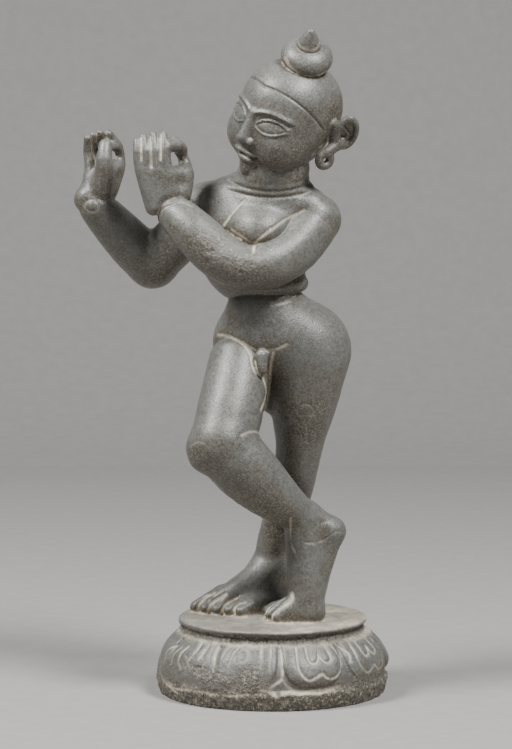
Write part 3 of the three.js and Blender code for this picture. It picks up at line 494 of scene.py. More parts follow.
def makeHead():
    axes = facingAxes(carving["headFacing"], carving["headUp"])
    headCentre = np.array(carving["headCentre"], dtype=float)
    bunCentre = axes @ (np.array(carving["bunCentre"]) - headCentre)
    bunAxis = axes @ unit(carving["bunAxis"])
    skull = oval((0, -5, 8.5), (44.2, 47.5, 43.2))
    jaw = oval((0, 8, -17), (40, 38, 36))
    chin = roundCone((0, 20, -46), (0, 32, -46.5), 15, 10.5)
    cheek = oval((21, 24, -20), (17, 16, 17))
    noseBridge = roundCone((0, 43, 8), (0, 50, -14.5), 3.4, 5.6)
    nostril = oval((5.6, 47, -17), (4.4, 5, 4))
    upperLip = oval((4.6, 42, -29.2), (9.6, 4.6, 3.1))
    lowerLip = oval((0, 41, -35.8), (10.4, 4.8, 3.5))
    ear = makeEar()
    peak = np.array((0, 38, 36), dtype=float)
    hairNormal = unit(np.cross(np.array((45, -2, 4)) - peak, np.array((-18, -15, -26)) - peak))
    hairLevel = float(hairNormal @ peak)
    hairNormal = arr(hairNormal)

    tuck = roundCone(bunCentre - bunAxis * 20, bunCentre - bunAxis * 6, 19, 15)
    cone = roundCone(bunCentre + bunAxis * 9, bunCentre + bunAxis * 20, 12, 7)
    tip = roundCone(bunCentre + bunAxis * 20, bunCentre + bunAxis * 27, 5.4, 3.4)
    bunOval = oval((0, 0, 0), (23.4, 23.4, 14.2))

    def distance(p):
        q = (p - arr(headCentre)) @ arr(axes).T
        s = q.copy()
        s[:, 0] = np.abs(s[:, 0])
        d = softMin(skull(s), jaw(s), 16)
        d = softMin(d, chin(s), 12)
        d = softMin(d, cheek(s), 12)
        d = softMin(d, noseBridge(s), 4)
        d = softMin(d, nostril(s), 2)
        d = softMin(d, upperLip(s), 1.8)
        d = softMin(d, lowerLip(s), 2)
        d = d - faceRelief(q[:, 0], q[:, 1], q[:, 2])
        d = d + 1.3 * bell(s @ hairNormal - hairLevel, 1) * smoothStep(q[:, 1], -6, 0)
        d = softMin(d, ear(s), 3)
        fromBun = q - arr(bunCentre)
        height = fromBun @ arr(bunAxis)
        out = np.sqrt(np.maximum(np.einsum("ij,ij->i", fromBun, fromBun) - height * height, 0))
        d = softMin(d, tuck(q), 4)
        d = creased(d, bunOval(np.stack([out, height * 0, height], -1)), 1.5, 0.9, 1.6)
        return creased(d, softMin(cone(q), tip(q), 3), 1.5, 0.8, 1.4)

    return within(headCentre, float(np.linalg.norm(bunCentre)) + 40, distance)


def makeFigure():
    torso = addNeck(makeTorso())
    head = makeHead()
    leftArm, rightArm = makeArms()
    hipsAndLegs = makeHipsAndLegs()
    feet = makeFeet()
    rightHand = makeRightHand()
    leftHand = makeLeftHand()
    fluteRadius = carving["fluteRadius"]
    flute = roundCone(carving["fluteInLeftHand"], carving["fluteInRightHand"], fluteRadius, fluteRadius)

    def distance(p):
        d = creased(torso(p), head(p), 2, 0.8)
        d = softMin(d, rightArm(p), 7)
        d = creased(d, leftArm(p), 4, 1.8)
        d = creased(d, hipsAndLegs(p), 3, 1.6)
        d = softMin(d, feet(p), 3)
        d = creased(creased(d, rightHand(p), 2.5, 1), leftHand(p), 1.4, 1.4)
        return np.maximum(d, -flute(p))

    return distance


# radius of the plain bulge at a height, through shares of its widest radius and of its height
def makeBulge():
    shares = splinePoints([(0.962, 0), (0.99, 0.16), (1, 0.32), (0.979, 0.54), (0.917, 0.77), (0.799, 1)], 12)
    radii = shares[:, 0] * plinth["radius"]
    heights = shares[:, 1] * plinth["bulgeHeight"]
    return lambda z: np.interp(z, heights, radii).astype(np.float32)


# the petals to both sides of the crisp one are rubbed away below their upper lines
def petalWear(degrees, z):
    left = smoothStep(degrees, -85, -70) * (1 - smoothStep(degrees, 17, 23))
    right = smoothStep(degrees, 62, 66) * (1 - smoothStep(degrees, 95, 105))
    return np.maximum(left, 0.8 * right) * (1 - smoothStep(z, 34, 46)) * smoothStep(z, 12, 18)


# the disc is thicker and blunter to the left of the front
def discWear(degrees):
    return smoothStep(-degrees, -5, 30) * (1 - smoothStep(-degrees, 100, 140))


def makePlinth():
    bulgeRadius = makeBulge()
    pitch = 2 * math.pi / plinth["petals"]
    halfWidth = (pitch * plinth["radius"] - plinth["petalGap"]) / 2
    petalLength = plinth["bulgeHeight"] - plinth["bandHeight"] - plinth["petalGap"]
    power = plinth["petalSquareness"]

    def distance(p):
        x, y, z = p.T
        radius = np.hypot(x, y)
        around = np.arctan2(x, -y)
        degrees = np.degrees(around)
        turn = (around - math.radians(plinth["firstPetal"])) / pitch
        arc = np.abs(turn - np.round(turn)) * pitch * plinth["radius"]
        belowTop = np.maximum(plinth["bulgeHeight"] - z, 0)
        reach = ((arc / halfWidth) ** power + (belowTop / petalLength) ** power) ** (1 / power)
        inside = (1 - reach) * plinth["petalInset"]
        rim = np.clip(inside / plinth["petalRoundEdge"], 0, 1)
        dome = np.sqrt(1 - (1 - rim) ** 2)
        band = 1 - smoothStep(z, plinth["bandHeight"] - 3, plinth["bandHeight"] + 1.5)
        cut = plinth["petalDepth"] * (1 - np.maximum(dome, band))
        wear = petalWear(degrees, z)
        cut = cut * (1 - wear) + plinth["wornCut"] * wear
        fuller = plinth["fullerSide"] * bell(degrees - plinth["fullerMiddle"], plinth["fullerSpread"])
        fuller = fuller * smoothStep(z, plinth["fullerFrom"], plinth["fullerTo"])
        bulge = np.maximum((radius - bulgeRadius(z) - fuller + cut) * 0.8, z - plinth["shoulderHeight"])
        blunt = discWear(degrees)
        thickness = plinth["discThickness"] + plinth["discWornThickness"] * blunt
        edge = plinth["discEdge"] + plinth["wornBluntness"] * blunt
        discMiddle = plinth["height"] - thickness / 2
        belowDisc = np.clip((plinth["height"] - plinth["flareBelow"] - z) / plinth["flareHeight"], 0, 1.2)
        neck = np.maximum(np.abs(z - plinth["bulgeHeight"]) - discMiddle + plinth["bulgeHeight"],
                          radius - plinth["neckRadius"] - plinth["neckFlare"] * belowDisc * belowDisc)
        edgeOut = radius - plinth["discRadius"] + edge + plinth["wornBluntness"] * blunt
        edgeUp = np.abs(z - discMiddle) - thickness / 2 + edge
        disc = np.hypot(np.maximum(edgeOut, 0), np.maximum(edgeUp, 0)) - edge
        disc = disc + np.minimum(np.maximum(edgeOut, edgeUp), 0)
        return softMin(softMin(np.maximum(bulge, -z), neck, 1.5), disc, 0.8)

    return distance


figureField = makeFigure()
plinthField = makePlinth()
plinthTop = arr((0, 0, plinth["height"]))


def carvingField(p):
    p = p.astype(np.float32)
    return softMin(figureField(p - plinthTop), plinthField(p), 2).astype(np.float32)


def inBatches(job, points, size=120000):
    starts = range(0, len(points), size)
    with ThreadPoolExecutor(4) as pool:
        parts = list(pool.map(lambda start: job(points[start:start + size]), starts))
    return np.concatenate(parts)


# the field on a grid, worked out only in blocks that the surface may pass
def sampleField(low, high, step, cells=8):
    blocks = np.ceil((high - low) / (step * cells)).astype(int)
    side = step * cells
    index = np.stack(np.meshgrid(*[np.arange(n) for n in blocks], indexing="ij"), -1).reshape(-1, 3)
    middles = (low + (index + 0.5) * side).astype(np.float32)
    distances = inBatches(carvingField, middles)
    grid = np.empty(tuple(blocks * cells), np.float32)
    split = grid.reshape(blocks[0], cells, blocks[1], cells, blocks[2], cells)
    split[:] = distances.reshape(blocks)[:, None, :, None, :, None]
    near = index[np.abs(distances) < side * math.sqrt(3) / 2 * 1.25 + step * 1.9]
    offsets = np.stack(np.meshgrid(*[np.arange(cells)] * 3, indexing="ij"), -1).reshape(-1, 3) * step

    def blockValues(some):
        points = (low + some * side)[:, None, :] + offsets[None]
        return carvingField(points.reshape(-1, 3)).reshape(len(some), -1)

    values = inBatches(blockValues, near, 240).reshape(-1, cells, cells, cells)
    split[near[:, 0], :, near[:, 1], :, near[:, 2], :] = values
    return grid


# one point in each grid cell that the surface crosses, joined to quads
def surfaceNet(grid, low, step):
    inside = grid < 0
    shape = np.array(grid.shape) - 1
    count = np.zeros(shape, np.uint8)
    corners = [(i, j, k) for i in (0, 1) for j in (0, 1) for k in (0, 1)]
    for i, j, k in corners:
        count += inside[i:shape[0] + i, j:shape[1] + j, k:shape[2] + k]
    crossed = (count > 0) & (count < 8)
    cells = np.argwhere(crossed)
    number = np.full(crossed.shape, -1, np.int32)
    number[crossed] = np.arange(len(cells))
    values = np.stack([grid[cells[:, 0] + i, cells[:, 1] + j, cells[:, 2] + k] for i, j, k in corners], 1)
    corners = np.array(corners)
    places = np.zeros((len(cells), 3), np.float32)
    hits = np.zeros(len(cells), np.float32)
    for a in range(8):
        for b in range(a + 1, 8):
            if np.abs(corners[a] - corners[b]).sum() != 1:
                continue
            cut = (values[:, a] < 0) != (values[:, b] < 0)
            share = values[cut, a] / (values[cut, a] - values[cut, b])
            places[cut] += corners[a] + share[:, None] * (corners[b] - corners[a])
            hits[cut] += 1
    points = (cells + places / hits[:, None]) * step + low
    quads = []
    for axis in range(3):
        first = [slice(None)] * 3
        second = [slice(None)] * 3
        first[axis] = slice(0, -1)
        second[axis] = slice(1, None)
        edges = np.argwhere(inside[tuple(first)] != inside[tuple(second)])
        one, two = [(1, 2), (2, 0), (0, 1)][axis]
        startsInside = inside[edges[:, 0], edges[:, 1], edges[:, 2]]
        around = []
        for moveOne, moveTwo in ((-1, -1), (0, -1), (0, 0), (-1, 0)):
            cell = edges.copy()
            cell[:, one] += moveOne
            cell[:, two] += moveTwo
            around.append(number[cell[:, 0], cell[:, 1], cell[:, 2]])
        quad = np.stack(around, 1)
        quad[~startsInside] = quad[~startsInside][:, ::-1]
        quads.append(quad)
    return points.astype(np.float32), np.concatenate(quads)


def vertexNormals(points, quads):
    diagonals = np.cross(points[quads[:, 2]] - points[quads[:, 0]], points[quads[:, 3]] - points[quads[:, 1]])
    normals = np.zeros_like(points)
    for corner in range(4):
        for axis in range(3):
            normals[:, axis] += np.bincount(quads[:, corner], diagonals[:, axis], len(points))
    return normals / np.maximum(lengthOf(normals), 1e-9)[:, None]


print("stage: carving the field")
step = carving["gridStep"]
lowCorner = np.array((-180, -plinth["radius"] - 3, -3), dtype=float)
highCorner = np.array((plinth["radius"] + 3, plinth["radius"] + 3, carving["height"] + 5), dtype=float)
grid = sampleField(lowCorner, highCorner, step)
points, quads = surfaceNet(grid, lowCorner, step)
del grid
normals = vertexNormals(points, quads)
points = points - normals * inBatches(carvingField, points)[:, None]
print("stage: surface of", len(points), "points")

# where the photograph was taken from, in millimetres and degrees
view = {"place": (1012.33, -2824.08, 590), "turn": 20, "pitch": 5.7272, "lens": 160.2, "sensor": 36}

# a sight line starts in the air before the stone and comes nearer to it in steps
sightLine = {"start": 2700, "steps": 60, "stride": 0.8, "miss": 0.5}

# lines that the chisel left, across and up in millimetres on the upright plane through the
# axis that faces the camera, with their width, depth and how much pale dust they hold
drawnLines = [
    ([(-25, 447), (-33.5, 438), (-40, 429.5), (-43.5, 424.5)], 1.3, 0.7, 1),
    ([(29, 438), (13.5, 430.5), (-0.5, 421.5)], 1.2, 0.8, 0.6),
    ([(-0.5, 421.5), (-11, 412.5), (-16, 406), (-17, 399.5)], 1.4, 0.9, 0.9),
    ([(-16, 406), (-23.5, 411.5), (-30, 416), (-37, 421)], 1.3, 0.5, 0.5),
    ([(-104.6, 430.7), (-101, 437), (-96.5, 440.2), (-90.2, 443.3), (-83.9, 445.1), (-77.6, 444.2),
      (-73.1, 441.5)], 1.3, 1.3, 0.25),
    ([(-117.9, 503.1), (-117.9, 490.1), (-117.7, 482.4)], 1.1, 0.9, 1),
    ([(-109.5, 504.4), (-109.3, 491.9), (-109, 484.7), (-108.6, 476.6)], 1.2, 1, 1),
    ([(-100.1, 506.6), (-100.3, 493.6), (-100.5, 483.3)], 1.3, 1, 1),
    ([(-162.5, 503.5), (-161.5, 491.9), (-159.3, 481.1)], 1.1, 0.6, 0.6),
    ([(-157.6, 506.2), (-157, 499), (-156.9, 491.9)], 1.1, 0.6, 0.3),
    ([(-156.8, 442), (-158.5, 438.2), (-162.7, 436.6), (-166.8, 438.2), (-168.5, 442), (-166.8, 445.8),
      (-162.6, 447.4), (-158.5, 445.8), (-156.8, 442)], 1.3, 1, 0.1),
    ([(31, 375), (22, 363), (13.5, 356.5), (-0.5, 352.5)], 1.6, 1, 0.15),
    ([(-49.5, 325.5), (-40.5, 324.5), (-31.5, 320.5), (-21, 314.5), (-15.5, 311.5)], 1.5, 0.9, 0.65),
    ([(-11, 310.5), (1, 311.5), (8, 314), (13.5, 317)], 1.5, 0.9, 0.6),
    ([(1.5, 309), (-1, 298), (-2, 284), (-4, 270.5), (-6.5, 259), (-8.5, 251.5)], 1.6, 0.9, 0.9),
    ([(23, 254), (24, 259.5), (29, 262), (35, 260.5), (38, 256), (35, 251.5)], 1, 0.5, 0.1),
    ([(30, 250.5), (30.5, 240.5), (32, 227.5)], 1, 0.35, 0.05),
    ([(-28, 234), (-22, 236.5), (-15.5, 237.5), (-10, 235)], 1.3, 0.7, 0.5),
    ([(-26.8, 318.2), (-20, 306.8), (-16.6, 293.2), (-8.7, 286.4), (-5.3, 272.7), (-9.9, 256.8)],
     1.7, 0.5, 0.8),
    ([(11.4, 574.2), (15.9, 566.1), (23, 560.8), (32, 557.2), (41.9, 559), (47.2, 561.3)], 2.4, 0.2, 0.7),
    ([(23, 589.3), (24.8, 584.9), (32, 581.3), (39.1, 582.2), (42.7, 588.4)], 1.3, 0.3, 0.4),
    ([(-73.5, 225), (-65.5, 228.5), (-56.5, 222.5)], 1.3, 0.4, 0.1),
    ([(17, 158.5), (16.5, 147), (17, 135.5), (21, 128)], 1.2, 0.8, 0.4),
    ([(30, 135.5), (39, 135.5), (48, 138), (57, 145), (64.5, 145)], 1.1, 0.6, 0.1),
    ([(36.5, 145), (41.5, 151), (48, 154.5), (55, 156.5)], 1.1, 0.4, 0.1),
    ([(-52.7, 89.2), (-60.3, 85.8), (-64.9, 81.2), (-67.1, 77.3), (-67.9, 71.6)], 1.9, 1.2, 1),
    ([(-42.8, 88.5), (-47.4, 85), (-53.5, 81.2), (-56.9, 77.3), (-58.4, 70.8)], 1.9, 1.2, 1),
    ([(-32.2, 84.6), (-38.3, 81.6), (-42.9, 78.1), (-44.8, 73.5), (-45.5, 70)], 1.8, 1.2, 1),
    ([(-25, 80.4), (-29.9, 78.9), (-33.7, 75.4), (-34.1, 70)], 1.8, 1.2, 1),
    ([(11, 84.2), (0.4, 78.1), (-4.1, 73.5), (-7.2, 68.9), (-7.9, 64.3)], 1.6, 1, 1),
    ([(17.9, 88.9), (18.6, 85), (14.8, 80.4), (8, 75.8), (1.2, 70.4), (-0.7, 65.8)], 2.1, 1.3, 1),
]


# lines of the petals round the plinth, as degrees from the front and height in millimetres, with
# the same three values; the clear petal is the one at 42.5 degrees, and the others follow it
clearPetal = [
    ([(33.7, 56.5), (33.2, 48), (32.9, 41), (33.6, 36), (35.2, 31.5), (37.2, 28.2), (39.4, 27.8),
      (41.2, 29.6), (43.5, 32), (45.7, 33)], 1.2, 1.1, 0.9),
    ([(45.7, 33), (47.3, 29.2), (50.3, 27.5), (53.4, 28.8), (56, 32.4), (57.9, 38), (58.4, 43.5),
      (57.4, 50), (55.4, 56)], 1.2, 1.1, 0.9),
    ([(39.4, 56), (38.9, 50.5), (38.9, 45.5), (40.2, 42), (42.8, 42), (44.6, 45), (45.6, 49)], 1.1, 1.1, 0.9),
    ([(45.6, 48), (46.7, 44), (48.9, 41.5), (51.5, 43), (52.3, 46.5), (51.8, 51.5), (51.2, 56)],
     1.1, 1.1, 0.9),
]
wornPetals = [
    ([(18.9, 57), (18.9, 48)], 1.2, 1, 1),
    ([(18.9, 48), (18.7, 41), (18.6, 35)], 1.2, 0.6, 0.4),
    ([(13.6, 56), (13.7, 48)], 1.1, 0.9, 0.9),
    ([(13.7, 48), (13.8, 40)], 1.1, 0.6, 0.3),
    ([(1, 56), (-1.5, 51), (-2.5, 45), (-3, 40)], 1.1, 0.9, 0.6),
    ([(1, 50), (3.3, 53), (6, 50), (6.3, 46), (4, 43), (1.5, 45)], 1.2, 0.7, 0.3),
    ([(-4.5, 56), (-7, 51), (-7.5, 45)], 1.1, 0.8, 0.5),
    ([(-13.5, 56), (-13.6, 46), (-12.1, 40), (-11.2, 34)], 1.3, 1, 1),
    ([(-19.5, 56), (-20, 48), (-19.5, 43)], 1.1, 0.8, 0.4),
    ([(-26.6, 56.5), (-26, 51.5), (-26.3, 47)], 1.2, 1, 1),
    ([(-26.3, 47), (-27, 43), (-29, 41), (-32, 42)], 1.1, 0.6, 0.3),
    ([(-47.3, 48.1), (-54.1, 41.5), (-52.2, 32.9)], 1.1, 0.8, 0.9),
    ([(-40.2, 47.6), (-43.6, 40.7), (-42.2, 32.2)], 1.1, 0.8, 0.8),
    ([(-34.5, 49.3), (-37, 43.7), (-36.5, 36.2), (-33.6, 33.3)], 1.2, 0.9, 1),
    ([(-28.2, 42.5), (-28.8, 37.1), (-25.7, 33.3)], 1.1, 0.8, 0.8),
    ([(-20.9, 49.5), (-21.3, 44.2), (-22, 41.5)], 1.3, 0.9, 1),
    ([(-58.6, 33.1), (-57.3, 24.3), (-51.7, 17.4), (-43.1, 13.2), (-35, 8.8)], 1.3, 0.9, 0.8),
    ([(24.6, 57), (25, 48), (25, 40), (24.7, 30), (22, 25.5), (18.5, 22)], 1.3, 0.6, 1),
    ([(24.7, 30), (27, 24), (31, 19.5), (36, 18.4), (43, 18.2), (50, 18.6), (56, 19.6)], 1.3, 0.7, 0.25),
    ([(25, 16.3), (29, 16.8), (33, 15.8), (38, 16.2), (43.5, 14.8)], 1.9, -0.7, 1),
    ([(44, 15.4), (48, 16.4), (52, 16.8)], 1.5, -0.5, 0.9),
    ([(14, 19), (17, 18.8), (20, 16.6), (21.5, 14)], 1.8, -0.7, 1),
    ([(-57, 19), (-47, 18), (-41, 14.5), (-35.5, 12.5), (-28, 14), (-22, 14.6)], 1.5, 0.9, 0.8),
    ([(-22, 14.6), (-16, 14.8), (-10.4, 13.5), (1.5, 14.2), (8, 16.4), (14, 17)], 1.4, 0.9, 0.5),
    ([(-29, 17), (-24, 16.4), (-18, 17.2)], 1.6, -0.6, 0.8),
    ([(60.5, 56), (62.5, 50), (64.3, 46), (63.6, 40)], 1.2, 0.9, 0.8),
]


# drop a drawn path onto the stone along the sight lines of the camera
def ontoStone(path):
    turn = math.radians(view["turn"])
    camera = arr(view["place"])
    flat = splinePoints(path, 6)
    targets = np.stack([flat[:, 0] * math.cos(turn), flat[:, 0] * math.sin(turn), flat[:, 1]], 1)
    rays = targets - camera
    rays /= np.linalg.norm(rays, axis=1)[:, None]
    reach = np.full(len(rays), sightLine["start"], dtype=np.float32)
    for _ in range(sightLine["steps"]):
        reach += sightLine["stride"] * carvingField(camera + rays * reach[:, None])
    places = camera + rays * reach[:, None]
    return places[carvingField(places) < sightLine["miss"]].astype(np.float32)


def distanceToPath(points, path):
    nearest = np.full(len(points), 1e3, np.float32)
    for a, b in zip(path, path[1:]):
        along = b - a
        share = np.clip((points - a) @ along / max(float(along @ along), 1e-6), 0, 1)
        nearest = np.minimum(nearest, lengthOf(points - a - share[:, None] * along))
    return nearest


# smooth noise from a seeded lattice, between -1 and 1
def makeNoise(seed, size=32):
    table = np.random.default_rng(seed).random((size, size, size)).astype(np.float32) * 2 - 1
    last = size - 1

    def noise(p, scale):
        q = p / scale
        base = np.floor(q).astype(int)
        share = q - base
        share = share * share * (3 - 2 * share)
        total = np.zeros(len(p), np.float32)
        for i in (0, 1):
            for j in (0, 1):
                for k in (0, 1):
                    weight = np.abs(1 - i - share[:, 0]) * np.abs(1 - j - share[:, 1])
                    weight = weight * np.abs(1 - k - share[:, 2])
                    cell = [(base[:, axis] + move) & last for axis, move in enumerate((i, j, k))]
                    total += weight * table[tuple(cell)]
        return total

    return noise


noise = makeNoise(7)


# several layers of noise, each a strength, a shift and a size
def layered(points, layers):
    return sum(strength * noise(points + shift, size) for strength, shift, size in layers)


# rough spots on the figure, as the camera sees them: across, up, reach, strength
roughSpots = [(-13, 163, 20, 0.8), (-30, 172, 14, 0.6), (4, 152, 14, 0.8), (-66, 213, 12, 0.5),
              (-50, 398, 26, 0.5), (-30, 385, 22, 0.5), (22, 478, 22, 0.5), (33, 250, 26, 0.35)]


# how rough and chipped the stone is at each point, from 0 to 1
def roughness(points):
    x, y, z = points.T
    onPlinth = (z < plinth["bulgeHeight"] + 1) & (np.hypot(x, y) > 70)
    band = 1 - smoothStep(z + 2 * noise(points, 14), 15, 21)
    worn = petalWear(np.degrees(np.arctan2(x, -y)), z)
    worn = worn * (0.3 + 0.7 * smoothStep(noise(points, 16) + 0.4 * noise(points, 5), -0.3, 0.3))
    total = np.where(onPlinth, np.maximum(band, 0.8 * worn), 0)
    for across, up, reach, strength in roughSpots:
        middle = ontoStone([(across, up), (across + 1, up)])[0]
        total = np.maximum(total, strength * bell(lengthOf(points - middle), reach))
    return np.clip(total, 0, 1).astype(np.float32)


# lengths in millimetres, angles in degrees from the front, and the strength of dust and wear
surface = {
    "lineReach": 6,
    "wornFrom": 290,
    "wornTo": 30,
    "neckFrom": 78,
    "neckTo": 93,
    "neckStart": (54, 56),
    "neckEnd": (63, 65),
    "discDustHeight": 1.6,
    "feetDust": 6,
    "underNeckDust": 0.9,
    "neckRoughness": 0.5,
    "ribHeight": 0.9,
    "ribWidth": 2.2,
    "ribRadius": 85,
    "ribStretch": 0.12,
    "handCut": [(0.3, 0, 27), (0.14, 50, 11), (0.08, 90, 4.5)],
    "chips": [(0.6, 0, 8), (0.4, 20, 3.6)],
    "chipDepth": 0.7,
}
depth = np.zeros(len(points), np.float32)
pale = np.zeros(len(points), np.float32)


def cutLine(chosen, away, width, cut, dust):
    depth[chosen] += cut * bell(away, width)
    pale[chosen] = np.maximum(pale[chosen], dust * np.minimum(1.4 * bell(away, 0.72 * width), 1))


# the points that a line can reach
def pointsNear(points, path):
    low = path.min(0) - surface["lineReach"]
    high = path.max(0) + surface["lineReach"]
    return np.all((points > low) & (points < high), axis=1).nonzero()[0]


print("stage: drawing the fine lines")
for path, width, cut, dust in drawnLines:
    places = ontoStone(path)
    near = pointsNear(points, places)
    cutLine(near, distanceToPath(points[near], places), width, cut, dust)

height = points[:, 2]
radius = np.hypot(points[:, 0], points[:, 1])

# the petal lines are followed on the unrolled bulge
side = ((height < plinth["bulgeHeight"] + 0.5) & (radius > surface["neckFrom"])).nonzero()[0]
degrees = np.degrees(np.arctan2(points[side, 0], -points[side, 1]))
degreeLength = math.radians(plinth["radius"]) * 0.97
pitch = 360 / plinth["petals"]
allPetals = list(wornPetals)
for turn in range(plinth["petals"]):
    middle = turn * pitch
    if not surface["wornTo"] <= (plinth["clearPetal"] + middle) % 360 <= surface["wornFrom"]:
        continue
    allPetals += [([(a + middle, z) for a, z in path], w, c, dust) for path, w, c, dust in clearPetal]
for path, width, cut, dust in allPetals:
    path = splinePoints(path, 4)
    start = path[0, 0]
    fromStart = (degrees - start + 180) % 360 - 180
    flat = np.stack([fromStart * degreeLength, points[side, 2]], 1)
    unrolled = np.stack([(path[:, 0] - start) * degreeLength, path[:, 1]], 1)
    near = pointsNear(flat, unrolled)
    fade = 1 - 0.7 * petalWear(degrees[near], points[side[near], 2])
    cutLine(side[near], distanceToPath(flat[near], unrolled), width, cut * fade, dust * fade)

# pale dust lies on the disc, most of it round the feet, and under the neck; the disc top is also
# painted paler towards the right as a painted highlight
atNeck = (radius > surface["neckFrom"]) * (radius < surface["neckTo"])
onDisc = bell(height - plinth["height"], surface["discDustHeight"]) * (radius < plinth["discRadius"] + 1)
nearFeet = bell(inBatches(lambda some: figureField(some - plinthTop), points), surface["feetDust"])
onNeck = atNeck * smoothStep(height, *surface["neckStart"]) * (1 - smoothStep(height, *surface["neckEnd"]))
underNeck = surface["underNeckDust"] * bell(height - plinth["shoulderHeight"], 1.5) * atNeck
patches = smoothStep(layered(points, [(1, 0, 9), (0.5, 0, 3)]), -0.5, 0.5)
# painted highlight: the disc top is made paler towards the right
discDustAndHighlight = 0.3 + 0.45 * smoothStep(points[:, 0], 5, 50)
paleDustAndHighlight = np.maximum(onDisc * np.maximum(discDustAndHighlight, nearFeet), underNeck)
pale = np.maximum(pale, paleDustAndHighlight * (0.5 + 0.5 * patches))

# the neck keeps the upright marks of the chisel
angle = np.arctan2(points[:, 0], -points[:, 1])
unrolled = np.stack([angle * surface["ribRadius"], height * surface["ribStretch"],
                     np.zeros(len(points), np.float32)], 1).astype(np.float32)
ribs = noise(unrolled, surface["ribWidth"]) * onNeck

rough = np.maximum(roughness(points), surface["neckRoughness"] * onNeck)
handCut = layered(points, surface["handCut"])
pits = smoothStep(noise(points + 70, 5), 0.2, 0.55)
chips = layered(points, surface["chips"]) - surface["chipDepth"] * pits
offset = handCut + rough * chips * (1 - 0.6 * onNeck) + surface["ribHeight"] * ribs - depth
points = points + normals * offset[:, None]
points[:, 2] = np.maximum(points[:, 2], 0)


def addAttribute(mesh, key, values):
    layer = mesh.attributes.new(key, "FLOAT", "POINT")
    layer.data.foreach_set("value", values.astype(np.float32))


def meshObject(name, points, faces, attributes=()):
    mesh = bpy.data.meshes.new(name)
    mesh.vertices.add(len(points))
    mesh.vertices.foreach_set("co", np.ascontiguousarray(points, dtype=np.float32).ravel())
    corners = faces.shape[1]
    mesh.loops.add(faces.size)
    mesh.loops.foreach_set("vertex_index", faces.astype(np.int32).ravel())
    mesh.polygons.add(len(faces))
    mesh.polygons.foreach_set("loop_start", np.arange(0, faces.size, corners, dtype=np.int32))
    mesh.update(calc_edges=True)
    mesh.validate()
    for key, values in attributes:
        addAttribute(mesh, key, values)
    item = bpy.data.objects.new(name, mesh)
    bpy.context.scene.collection.objects.link(item)
    return item


print("stage: thinning the mesh")
figure = meshObject("carved_figure_with_plinth", points * metres, quads, [("pale", pale), ("rough", rough)])
limit = carving["triangles"]
thin = figure.modifiers.new("thin", "DECIMATE")
thin.ratio = min(1, limit / (len(quads) * 2))
thin.use_collapse_triangulate = True
depsgraph = bpy.context.evaluated_depsgraph_get()
dense = figure.data
figure.data = bpy.data.meshes.new_from_object(figure.evaluated_get(depsgraph), depsgraph=depsgraph)
figure.modifiers.remove(thin)
bpy.data.meshes.remove(dense)
figure.data.name = "carved_figure_with_plinth"
figure.data.shade_smooth()
print("stage:", len(figure.data.polygons), "triangles kept")


# how hollow the place round each point is: 0 in the open, 1 deep in a crease
def addHollows(mesh):
    count = len(mesh.vertices)
    places = np.empty(count * 3, np.float32)
    facing = np.empty(count * 3, np.float32)
    mesh.vertices.foreach_get("co", places)
    mesh.vertex_normals.foreach_get("vector", facing)
    places = places.reshape(-1, 3) / metres
    facing = facing.reshape(-1, 3)
    for key, reaches in (("groove", (1.6, 3)), ("hollow", (7, 14, 26))):
        total = np.zeros(count, np.float32)
        for reach in reaches:
            total += 1 - np.clip(inBatches(carvingField, places + facing * reach) / reach, 0, 1)
        addAttribute(mesh, key, total / len(reaches))


addHollows(figure.data)


# the stone's colours and finish
stone = {
    "grey": (0.136, 0.137, 0.127, 1),
    "brown": (0.055, 0.046, 0.033, 1),
    "dust": (0.68, 0.61, 0.48, 1),
    "roughness": 0.39,
    "specular": 0.6,
    "bump": 0.45,
    "grain": 0.8,
    "dustAndHighlightAmount": 0.9,
    "specks": 0.5,
    "patinaAndShadeAmount": 0.85,
    "bumpDistance": 0.0012,
}


def node(tree, kind, place, **values):
    item = tree.nodes.new(kind)
    item.location = place
    for key, value in values.items():
        setattr(item, key, value)
    return item


def newGroup(name, inputs, outputs):
    tree = bpy.data.node_groups.new(name, "ShaderNodeTree")
    for key, value in inputs:
        socket = tree.interface.new_socket(key, in_out="INPUT", socket_type="NodeSocketFloat")
        socket.default_value = value
    for key in outputs:
        tree.interface.new_socket(key, in_out="OUTPUT", socket_type="NodeSocketFloat")
    return tree, tree.nodes.new("NodeGroupInput"), tree.nodes.new("NodeGroupOutput")


def mapRange(tree, source, place, low, high, toLow=0, toHigh=1):
    item = node(tree, "ShaderNodeMapRange", place)
    item.inputs["From Min"].default_value = low
    item.inputs["From Max"].default_value = high
    item.inputs["To Min"].default_value = toLow
    item.inputs["To Max"].default_value = toHigh
    tree.links.new(source, item.inputs["Value"])
    return item.outputs["Result"]


def math2(tree, operation, first, second, place):
    item = node(tree, "ShaderNodeMath", place, operation=operation)
    for socket, value in zip(item.inputs, (first, second)):
        if isinstance(value, (int, float)):
            socket.default_value = value
        else:
            tree.links.new(value, socket)
    return item.outputs[0]


def mixColours(tree, factor, first, second, place, blend="MIX"):
    item = node(tree, "ShaderNodeMix", place, data_type="RGBA", blend_type=blend)
    for socket, value in ((item.inputs[0], factor), (item.inputs[6], first), (item.inputs[7], second)):
        if isinstance(value, (int, float, tuple)):
            socket.default_value = value
        else:
            tree.links.new(value, socket)
    return item.outputs[2]


# a grey from one number
def greyOf(tree, value, place):
    item = node(tree, "ShaderNodeCombineColor", place)
    for socket in item.inputs:
        tree.links.new(value, socket)
    return item.outputs[0]


def noiseTexture(tree, coordinates, scale, detail, place, rough=0.5):
    item = node(tree, "ShaderNodeTexNoise", place)
    item.inputs["Scale"].default_value = scale
    item.inputs["Detail"].default_value = detail
    item.inputs["Roughness"].default_value = rough
    tree.links.new(coordinates, item.inputs["Vector"])
    return item.outputs["Fac"]


